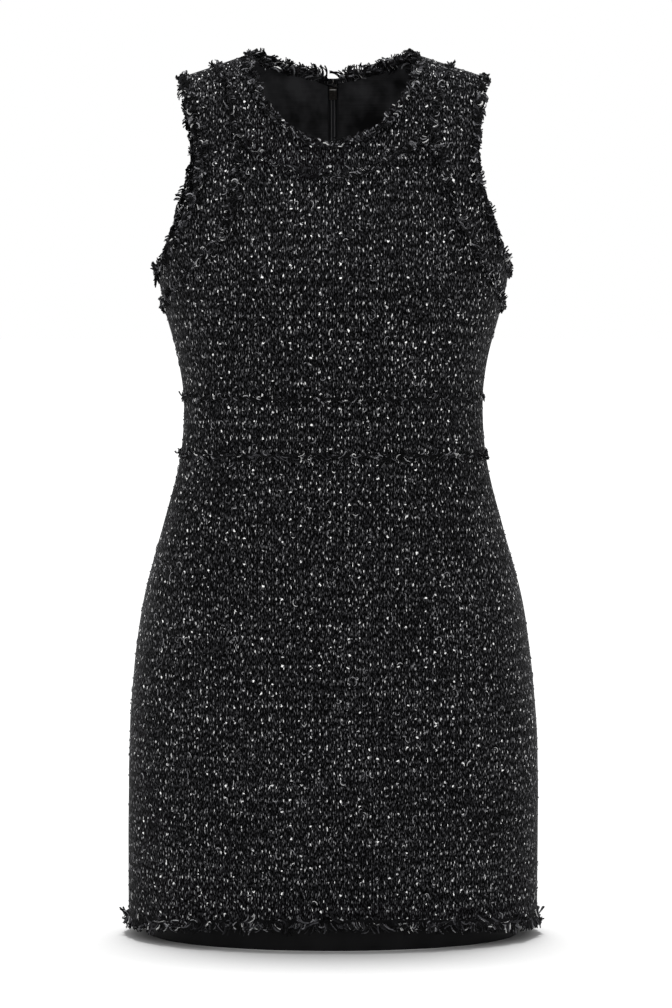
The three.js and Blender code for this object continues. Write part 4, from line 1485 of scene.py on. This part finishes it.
@dataclass(frozen=True)
class Trim:
    """A fringed trim: a narrow braid sewn on along a run of places, with loose yarn ends.

    `side` is 1 where the ends lean to the left of the run as seen from outside, else -1; `shift`
    moves the braid off the run, towards the ends if positive; `lean` is how strongly the ends lean.
    """

    name: str
    run: Array
    side: int
    shift: float = 0.0
    loop: bool = False
    lean: float = 1.0
    back: float = 0.25  # share of the ends that lean back over the cloth
    reach: tuple[float, float] = (3.5, 7.0)
    per_mm: float = 2.2
    to_comb: int = 4  # ends in a comb
    pitch: float = 1.9  # mm, between the ends of a comb
    rise: tuple[float, float] = (0.1, 0.75)
    root: tuple[float, float] = (-1.4, 1.6)  # from the braid's middle
    girth: tuple[float, float] = (0.42, 0.78)  # radius of an end
    bend: tuple[float, float] = (0.9, 3.0)  # radians
    sway: float = 0.9  # how far a comb may lean along the trim
    loose: float = 0.12  # share of the ends that lie along the trim as long wavy loops
    inner: float = 0.0  # share of the ends that stand on the lining's side of the edge
    droop: float = 0.0
    seed: int = 0

    def frames(self) -> tuple[Array, Array, Array, Array]:
        """The run's points on the cloth, and at each the way along, outwards and off the run."""
        points = BODY.lifted(self.run, ease(self.run))
        if self.loop:
            ahead, behind = np.roll(points, -1, 0), np.roll(points, 1, 0)
        else:
            ahead = np.concatenate([points[1:], points[-1:]])
            behind = np.concatenate([points[:1], points[:-1]])
        along, out = unit(ahead - behind), BODY.normals(self.run)
        off = unit(np.cross(out, along)) * self.side
        if self.loop:
            points, along, out, off = (
                np.concatenate([a, a[:1]]) for a in (points, along, out, off)
            )
        return points, along, out, off

    def braid(self) -> tuple[Array, list[Array]]:
        """The braid: a low rounded strip 3.4 mm wide, whose top follows a row of offsets and lifts
        across it, closed underneath.

        Returns:
            Vertices and faces.
        """
        points, _, out, off = self.frames()
        section = np.array(
            [(-1.7, 0.35), (-1.4, 0.9), (-0.5, 1.2), (0.5, 1.2), (1.4, 0.9), (1.7, 0.35)]
        )
        rows = points[:, None] + off[:, None] * (section[:, :1] + self.shift)
        rows = rows + out[:, None] * section[:, 1:]
        count, sides = rows.shape[:2]
        ids = np.arange(count * sides).reshape(count, sides)
        if self.loop:
            ids[-1] = ids[0]
        turned = np.roll(ids, -1, 1)
        walls = np.stack([ids[:-1], turned[:-1], turned[1:], ids[1:]], -1).reshape(-1, 4)
        caps = [] if self.loop else [np.stack([ids[0, ::-1], ids[-1]])]
        used = rows.reshape(-1, 3)
        if self.loop:
            used = used[: (count - 1) * sides]
        return used, facing_out(used, [walls, *caps])

    def ends(self) -> tuple[Array, Array, Array]:
        """The yarn ends, in combs whose ends stand side by side and bend alike.

        An end sets out along its heading and turns towards a second direction, by bend * s^1.2 at a
        share s of its length, so that it hooks; its points are the running sum of its directions,
        and its tip droops by s^2. Some combs lie along the trim instead, as long loops, and some
        stand on the lining's inner side, from where they lean off the edge too.

        Returns:
            Paths, radii and a tone for each.
        """
        points, along, out, off = self.frames()
        run = lengths_along(points, 0)
        rng = np.random.default_rng(self.seed)
        combs = int(run[-1] * self.per_mm / self.to_comb)
        comb = np.repeat(np.arange(combs), self.to_comb)
        count = len(comb)
        tooth = np.tile(np.arange(self.to_comb) - (self.to_comb - 1) / 2, combs)

        def shared(low: float, high: float, spread: float) -> Array:
            """A number for each end: its comb's own, and a little of its own."""
            own = rng.uniform(-1, 1, count) * spread
            return (rng.uniform(low, high, combs)[comb] + own)[:, None]

        def sign(chance: float) -> Array:
            """-1 for that share of the combs, 1 for the others."""
            return np.where(rng.uniform(size=combs) < chance, -1.0, 1.0)[comb][:, None]

        middle = (np.arange(combs) + rng.uniform(0, 1, combs)) / combs * run[-1]
        where = middle[comb] + tooth * self.pitch + rng.normal(0, 0.45, count)
        where = where % run[-1] if self.loop else np.clip(where, 0, run[-1])

        at, way, up, away = (read_at(values, run, where) for values in (points, along, out, off))
        way, up, away = unit(way), unit(up), unit(away)
        lying = (rng.uniform(size=combs) < self.loose)[comb][:, None]
        within = (rng.uniform(size=combs) < self.inner)[comb][:, None]
        turned = np.where(within, 1.0, sign(self.back))
        face = np.where(within, -1.0, 1.0)
        heading = away * self.lean * turned + way * shared(-self.sway, self.sway, 0.12)
        heading = heading + up * face * shared(*self.rise, 0.14)
        flat = way * sign(0.5) + away * shared(-0.4, 0.4, 0.12)
        heading = unit(np.where(lying, flat, heading))
        reach = shared(*self.reach, 0.8) * np.where(turned < 0, 0.85, 1.0)
        reach = np.where(lying, reach * 1.4, reach)
        height = face * (shared(0.5, 1.1, 0.25) + lying * 0.8) - within * (LINING_DEPTH + LINING)
        spot = self.shift + shared(*self.root, 0.4)
        spot = np.where(within, shared(-2.4, 0.2, 0.4), spot)
        root = at + away * spot + up * height
        sideways = unit(np.cross(heading, up + 0.25 * way))
        tilt = shared(-0.7, 0.7, 0.15)
        bending = np.cos(tilt) * sideways + np.sin(tilt) * np.cross(heading, sideways)
        s = np.linspace(0, 1, 7)[None, :, None]
        angle = (shared(*self.bend, 0.25) * sign(0.5))[:, None] * s**1.2
        way_on = heading[:, None] * np.cos(angle) + bending[:, None] * np.sin(angle)
        steps = (way_on[:, 1:] + way_on[:, :-1]) / 2 * reach[:, None] / (s.shape[1] - 1)
        paths = root[:, None] + np.concatenate([0 * steps[:, :1], np.cumsum(steps, 1)], 1)
        paths = paths - np.array([0, 0, self.droop]) * s**2
        thick = rng.uniform(*self.girth, (count, 1)) * np.linspace(1.0, 0.75, s.shape[1])
        tone = rng.uniform(0, 0.9, count) ** 1.15 + rng.uniform(-0.15, 0.12, combs)[comb]
        tone = np.where(rng.uniform(size=count) < 0.06, rng.uniform(0.86, 1.0, count), tone)
        return paths, thick, np.clip(tone, 0, 1)

    def build(self, yarn: bpy.types.Material) -> bpy.types.Object:
        """Makes the trim as one piece."""
        flat, flat_faces = self.braid()
        paths, thick, tone = self.ends()
        points, faces = tubes(paths, thick, 3)
        moved = [group + len(flat) for group in faces]
        mottled = np.random.default_rng(self.seed + 1).uniform(0.0, 0.36, len(flat))
        shade = np.concatenate([mottled, np.repeat(tone, len(points) // len(tone))])
        piece = make_piece(
            f"trim_{self.name}", np.concatenate([flat, points]), [*flat_faces, *moved], shade=shade
        )
        dress_piece(piece, yarn, "fringe", f"fringe_{self.name}")
        return piece


def clipped(places: Array, start: float, end: float) -> Array:
    """A run without its first and last millimetres, with the rest in even steps."""
    run = lengths_along(BODY.points(places), 0)
    return read_at(places, run, np.linspace(start, run[-1] - end, len(places)))


@dataclass
class Trims:
    """All the fringed trims of the dress."""

    setback: float = 3.0  # from the front neck's raw edge to the middle of its braid
    upright: float = 1.0  # how much less it is behind and round the arms
    hem_reach: tuple[float, float] = (7.0, 11.5)

    def trims(self) -> list[Trim]:
        """The trims and their runs."""
        left = FRONT[Hand.LEFT]
        made = [
            Trim(
                "neck_front",
                clipped(across(left.neck), 1.2, 1.2),
                1,
                -self.setback,
                back=0.35,
                reach=(4.5, 8.0),
                per_mm=3.6,
                inner=0.25,
                girth=(0.55, 0.9),
                seed=11,
            ),
            Trim(
                "neck_seam_front",
                clipped(across(left.neck_band), 1.2, 1.2),
                1,
                lean=0.8,
                back=0.5,
                reach=(4.0, 9.0),
                seed=12,
            ),
        ]
        for hand in Hand:
            flip = (lambda places: places) if hand is Hand.LEFT else mirror
            way, seed, ahead = hand.way, 20 + hand.way, FRONT[hand]
            hole = joined(ahead.armhole, to_back(REAR.armhole)[::-1])[:-1]
            seam = joined(ahead.armhole_seam, to_back(REAR.armhole_seam)[::-1])
            made += [
                Trim(
                    f"neck_back_{hand.value}",
                    flip(clipped(to_back(REAR.neck), 1.2, 6.0)),
                    way,
                    -self.setback + self.upright,
                    back=0.1,
                    reach=(8.0, 12.5),
                    per_mm=3.6,
                    inner=0.45,
                    rise=(-0.1, 0.4),
                    root=(-0.5, 1.5),
                    girth=(0.75, 1.15),
                    bend=(0.4, 1.9),
                    sway=0.5,
                    loose=0.04,
                    seed=seed,
                ),
                Trim(
                    f"neck_seam_back_{hand.value}",
                    flip(clipped(to_back(REAR.neck_band), 1.2, 1.2)),
                    -way,
                    lean=0.8,
                    back=0.5,
                    reach=(4.0, 9.0),
                    seed=seed + 4,
                ),
                Trim(
                    f"armhole_{hand.value}",
                    flip(hole),
                    way,
                    -self.setback + self.upright,
                    loop=True,
                    back=0.28,
                    reach=(6.0, 9.5),
                    per_mm=4.8,
                    inner=0.4,
                    rise=(0.0, 0.7),
                    root=(-1.6, 1.6),
                    girth=(0.7, 1.1),
                    bend=(1.2, 3.6),
                    seed=seed + 8,
                ),
                Trim(
                    f"armhole_seam_{hand.value}",
                    flip(clipped(seam, 7, 5)),
                    way,
                    lean=0.8,
                    back=0.5,
                    reach=(4.5, 9.5),
                    per_mm=2.9,
                    girth=(0.55, 0.9),
                    seed=seed + 12,
                ),
            ]

        def ring(ahead: Array, behind: Array) -> Array:
            """A level edge all the way round, from centre front to the wearer's left and on."""
            rear = to_back(behind)
            half = joined(ahead[::-1], rear)
            return joined(half, mirror(half)[::-1])[:-1]

        made += [
            Trim(
                "waist_upper",
                ring(WAIST_TOP, WAIST_TOP),
                1,
                loop=True,
                lean=0.8,
                back=0.5,
                reach=(3.0, 6.5),
                per_mm=1.2,
                loose=0.3,
                rise=(0.05, 0.45),
                seed=51,
            ),
            Trim(
                "waist_lower",
                ring(WAIST_FOOT, WAIST_FOOT),
                -1,
                loop=True,
                lean=0.9,
                back=0.3,
                reach=(4.0, 8.5),
                per_mm=1.7,
                loose=0.3,
                rise=(0.05, 0.5),
                droop=0.6,
                seed=52,
            ),
            Trim(
                "hem",
                ring(HEM_FRONT, HEM_BACK),
                -1,
                -1.6,
                loop=True,
                back=0.08,
                reach=self.hem_reach,
                per_mm=2.7,
                root=(0.0, 2.8),
                girth=(0.55, 0.95),
                bend=(0.5, 2.4),
                sway=0.6,
                rise=(0.0, 0.4),
                droop=0.8,
                seed=53,
            ),
        ]
        return made

    def build(self) -> None:
        """Makes every trim."""
        yarn = FringeYarn().material()
        for trim in self.trims():
            trim.build(yarn)


# ---- Lining ---------------------------------------------------------------------------------------


@dataclass
class LiningHalf:
    """One side of a lining piece: a yoke that fans from the neck edge out to the armhole and the
    chest line, and a body from there to the lining's own hem. `centre` is the gap that is left at
    the centre, by height."""

    edges: CutEdges
    centre: Callable[[Array], Array]
    chest: float = -216
    hem: float = -831
    yoke_rows: int = 24
    body_rows: int = 120

    def grids(self) -> list[Array]:
        """The yoke's and the body's places."""
        # The armhole, up to 0.7 degrees inside the tweed's edge and 1.4 mm lower at the side.
        hole = self.edges.armhole[:-1]
        share = np.arange(len(hole)) / len(hole)
        hole = hole - np.stack([0.7 * np.sin(np.pi * share), 1.4 * share], -1)
        levels = np.linspace(self.chest, self.hem, self.body_rows + 1)
        gaps = self.centre(levels)
        rows = np.stack([clipped(level(z, AROUND), SEWN, gap) for z, gap in zip(levels, gaps)])
        # The yoke's two borders, with as many places on the neck edge as on the outer one.
        outer = np.concatenate([hole, rows[0]])
        meeting = 5 * FINE
        fan = len(outer) - 1 - meeting
        neck = self.edges.neck_of_lining
        below = clipped(neck[meeting:], 0, float(self.centre(neck[-1, 1])))
        spread = np.linspace(0, len(below) - 1, fan + 1)
        neck = joined(neck[: meeting + 1], at_indices(below, spread, 0))
        under = hole[np.argmin(hole[:, 0]) :][::-1]

        def clear(z: Array) -> Array:
            """The turn as far as which there is cloth under the armhole's waist, by height."""
            return np.interp(z, under[:, 1], under[:, 0])

        def shares(places: Array) -> Array:
            """Places with the turn as a share of that one, so that no mean of two crosses it."""
            return np.stack([places[:, 0] / clear(places[:, 1]), places[:, 1]], -1)

        neck, outer, join = shares(neck), shares(outer), shares(self.edges.meeting)
        middle = joined(join, neck[meeting:] * 0.55 + outer[meeting:] * 0.45)
        low = middle * 0.5 + outer * 0.5
        yoke = np.stack([neck, middle, low, outer])
        yoke = at_indices(yoke, np.linspace(0, 3, self.yoke_rows + 1), 0)
        yoke[..., 0] *= clear(yoke[..., 1])
        yoke[:, 0] = towards(yoke[:, 0], yoke[:, 1], SEWN)
        return [yoke, rows]


@dataclass
class Lining:
    """The satin lining: a whole front and two backs that part round the zip."""

    parted: float = 4.9  # mm from the zip's middle to the lining's edge

    def lifts(self, grids: list[Array]) -> list[Array]:
        """Soft drawn folds, less the lining's depth under the tweed."""
        made = []
        for grid in grids:
            points = BODY.points(grid)
            stretched = points * np.array([1.0, 1.0, 0.35])
            folds = 0.45 * waves(stretched, seed=31, scale=42.0)
            fine = 0.16 * waves(points, seed=32, scale=14.0)
            drawn = sum(crease.drop(grid) for crease in CREASES)
            made.append(folds + fine - drawn - LINING_DEPTH)
        return made

    def build(self) -> None:
        """Makes the three pieces."""
        satin = Satin().material()

        def gap(z: Array) -> Array:
            """How far the back edges stand from the centre, by height."""
            return np.where(np.asarray(z) > ZIP_FOOT - 1, self.parted, SEWN)

        def whole(z: Array) -> Array:
            """No gap at the centre front."""
            return np.zeros_like(np.asarray(z, float))

        front = LiningHalf(FRONT[Hand.LEFT], whole).grids()
        front += [mirror(grid[:, ::-1]) for grid in LiningHalf(FRONT[Hand.RIGHT], whole).grids()]
        rear = [to_back(grid) for grid in LiningHalf(REAR, gap).grids()]
        for name, grids, above in (
            ("lining_front", front, "neck_band_front"),
            ("lining_back_left", rear, "neck_band_back_left"),
            ("lining_back_right", [mirror(grid) for grid in rear], "neck_band_back_right"),
        ):
            sheet = Sheet(f"satin_{name}", grids, self.lifts(grids), LINING, hanging=True)
            piece = sheet.build()
            dress_piece(piece, satin, "lining", name)
            size, area = sheet.cut()


# ---- Zip ------------------------------------------------------------------------------------------


@dataclass
class Zip:
    """The concealed zip: two woven tapes, a nylon coil, a slider and its pull."""

    top: float = -37.2
    tape_top: float = -19.0
    foot: float = -538.0
    under: float = 3.1  # below the tweed's outer face
    chain_half: float = 2.1
    tape_half: float = 6.8
    tape_thick: float = 0.8
    drawn_in: float = 8.0  # height over which the tapes draw together above the chain
    pitch: float = 1.6  # from tooth to tooth
    cords: tuple = (  # along the chain: from its middle, and radius
        (0.0, 0.55),
        (0.95, 0.5),
        (-0.95, 0.5),
        (1.7, 0.42),
        (-1.7, 0.42),
    )
    lip_at: float = -25.5  # height of the slider's lip, on the tweed's outer face
    lip_under: float = 6.6  # from that face in to the lip
    lip_half: float = 3.2  # half its length
    lip_radii: tuple = (0.25, 0.5, 0.6, 0.6, 0.6, 0.6, 0.6, 0.5, 0.25)

    def line(self, z: Array, depth: float) -> Array:
        """y at the centre back at heights z, a depth below the outer face."""
        places = np.stack([np.full_like(z, 180.0), z], -1)
        return BODY.lifted(places, -depth)[:, 1]

    def tape(self, hand: Hand) -> None:
        """One tape: a flat woven strip, raised a little along a line near its inner edge. Above the
        chain its inner part is drawn in until the two tapes all but meet."""
        above, beside = np.linspace(self.tape_top, self.top, 24), np.linspace(-40, self.foot, 180)
        z = np.concatenate([above, beside])
        x = np.array([self.chain_half - 0.05, 2.9, 4.0, 5.2, self.tape_half - 0.2, self.tape_half])
        meeting = np.clip((z[:, None] - self.top) / self.drawn_in, 0, 1) * (self.tape_half - x)
        x = x - meeting * (self.chain_half - 0.07) / (self.tape_half - self.chain_half + 0.05)
        swell = np.array([0.0, 0.12, 0.0, 0.0, 0.0, -0.1])
        y = self.line(z, self.under)[:, None]
        back = np.stack([x, y + swell, z[:, None] + 0 * x], -1)
        inner = back - np.array([0, self.tape_thick, 0])
        rows, columns = back.shape[:2]
        ids = np.arange(rows * columns).reshape(rows, columns)
        quad = cells_of(ids)
        rim = np.concatenate([ids[0], ids[1:, -1], ids[-1, -2::-1], ids[-2:0:-1, 0]])
        after = np.roll(rim, -1)
        count = rows * columns
        rims = np.stack([after, rim, rim + count, after + count], -1)
        points = np.concatenate([back.reshape(-1, 3), inner.reshape(-1, 3)])
        points = points * np.array([hand.way, 1, 1])
        faces = facing_out(points, [quad, quad[:, ::-1] + count, rims])
        name = f"zip_tape_{hand.value}"
        piece = make_piece(f"woven_{name}", points, faces)
        dress_piece(piece, Tape().material(), "zip_tape", name)

    def coil(self) -> None:
        """The coil: a flattened loop of nylon for each tooth, from one tape in over the middle,
        left and right by turns, with three cords down the chain and a row of thread on each
        side."""
        depth = self.under + 0.75
        z = np.arange(self.top - 1.0, self.foot + 1.0, -self.pitch / 2)
        way = np.where(np.arange(len(z)) % 2, 1.0, -1.0)[:, None]
        t = np.linspace(0, 1, 8)
        x = way * (1.0 - 1.3 * np.sin(np.pi * t) ** 0.7)
        y = self.line(z, depth)[:, None] + 0.42 * np.cos(np.pi * t)
        rise = z[:, None] + 0.3 * (t - 0.5)
        paths = np.stack([x, y + 0 * x, rise + 0 * x], -1)
        points, faces = tubes(paths, np.full(paths.shape[:2], 0.27), 5)
        heights = np.linspace(self.top, self.foot, 160)
        cord_y = self.line(heights, depth)
        aside, thick = np.array(self.cords).T[:, :, None]
        cord = np.stack(
            [aside + 0 * heights, cord_y - 0.3 * np.abs(aside), heights + 0 * aside], -1
        )
        more, more_faces = tubes(cord, thick + np.zeros(cord.shape[:2]), 8)
        merged = [*faces, *[group + len(points) for group in more_faces]]
        piece = make_piece("nylon_zip_chain", np.concatenate([points, more]), merged)
        dress_piece(piece, Nylon().material(), "zip_coil", "zip_chain")

    def lip(self) -> None:
        """The raised lip across the inner plate of the slider, coloured pale as a painted highlight.
        """
        place = np.array([[180.0, self.lip_at]])
        middle = BODY.lifted(place, -self.lip_under)[0]
        along = np.linspace(-self.lip_half, self.lip_half, len(self.lip_radii))
        path = (middle + np.outer(along, (1, 0, 0)))[None]
        points, faces = tubes(path, np.array([self.lip_radii]), 10)
        piece = make_piece("gunmetal_zip_lip", points, facing_out(points, faces))
        # Pale tones with little metal: a painted highlight on the lip, standing in for a glint.
        lip_painted_highlight = ((0.6, "#8d8b88"), (0.74, "#b5b3b0"), (0.9, "#dddbd8"))
        bright = Gunmetal("worn_zinc_lip", lip_painted_highlight, 0.1)
        dress_piece(piece, bright.material(), "zip_metal")

    def metal(self, node: str, name: str, body: str, round_by: float) -> None:
        """A metal part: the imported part's own shape with every edge rounded.

        Args:
            node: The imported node.
            name: The piece's name.
            body: The body that it rides on.
            round_by: The edges' radius in millimetres.
        """
        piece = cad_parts[node].copy()
        piece.data = piece.data.copy()
        for key in list(piece.keys()):
            del piece[key]
        piece.name = name
        piece.parent = None
        bpy.context.scene.collection.objects.link(piece)
        weld = piece.modifiers.new("weld", "WELD")
        weld.merge_threshold = 0.02 * MM
        rounding = piece.modifiers.new("rounding", "BEVEL")
        rounding.width, rounding.segments = round_by * MM, 2
        rounding.limit_method, rounding.angle_limit = "ANGLE", math.radians(35)
        piece.data.materials.clear()
        dress_piece(piece, Gunmetal().material(), "zip_metal", node, body=body)

    def build(self) -> None:
        """Makes the zip."""
        for hand in Hand:
            self.tape(hand)
        self.coil()
        self.metal("zip_slider", "gunmetal_zip_slider", "dress", 0.35)
        self.lip()
        self.metal("zip_pull", "gunmetal_zip_pull", "pull", 0.25)


# ---- Studio ---------------------------------------------------------------------------------------


@dataclass(frozen=True)
class Studio:
    """A seamless white floor and surround, one wide lamp overhead and the camera."""

    distance: float = 3.9  # metres from the dress to the camera
    eye: float = -0.231  # height of the camera
    aim: float = -0.4234  # height that it looks at
    aside: float = 0.00285  # how far it stands to the wearer's left of the middle
    lens: float = 147.15  # for a sensor of 36 mm on the long side
    floor_half: float = 60.0  # metres, half a side of the floor
    surround: float = 1.0
    lamp_power: float = 4.4
    lamp_spread: float = 16.0  # degrees, the lamp's width as seen from the dress
    lamp_tilt: float = 6.8  # degrees behind the vertical

    def build(self, floor_level: float) -> None:
        """Makes the floor, the surround, the lamp and the camera.

        Args:
            floor_level: Height of the floor in metres.
        """
        scene = bpy.context.scene
        scene.view_settings.view_transform = "Standard"
        corners = np.array([(-1, -1), (1, -1), (1, 1), (-1, 1)]) * self.floor_half / MM
        points = np.column_stack([corners, np.full(4, floor_level / MM)])
        floor = make_piece("floor", points, [np.arange(4)[None]])
        floor.data.materials.append(Paper().material())
        world = bpy.data.worlds.new("surround")
        world.use_nodes = True
        world.node_tree.nodes.clear()
        glow = add_node(
            world.node_tree,
            "ShaderNodeBackground",
            inputs={"Color": (1, 1, 1, 1), "Strength": self.surround},
        )
        add_node(world.node_tree, "ShaderNodeOutputWorld", inputs={"Surface": glow.outputs[0]})
        scene.world = world
        data = bpy.data.lights.new("overhead", "SUN")
        data.energy, data.angle = self.lamp_power, math.radians(self.lamp_spread)
        lamp = bpy.data.objects.new("overhead", data)
        lamp.rotation_euler = (math.radians(-self.lamp_tilt), 0, 0)
        scene.collection.objects.link(lamp)
        view = bpy.data.cameras.new("camera")
        view.sensor_fit, view.sensor_width, view.lens = "AUTO", 36.0, self.lens
        view.clip_start, view.clip_end = 0.1, 200.0
        camera = bpy.data.objects.new("camera", view)
        camera.location = (self.aside, -self.distance, self.eye)
        pitch = math.atan2(self.aim - self.eye, self.distance)
        camera.rotation_euler = (math.pi / 2 + pitch, 0, 0)
        scene.collection.objects.link(camera)
        scene.camera = camera


# ---- The dress ------------------------------------------------------------------------------------


def main() -> None:
    """Builds the studio and the dress."""
    logging.basicConfig(level=logging.INFO, format="%(name)s %(message)s")
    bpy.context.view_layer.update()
    lowest = min(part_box(node)[0].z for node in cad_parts)
    Studio().build(lowest - 1.0 * MM)
    Tweed().build()
    Trims().build()
    Lining().build()
    Zip().build()


if __name__ == "__main__":
    main()
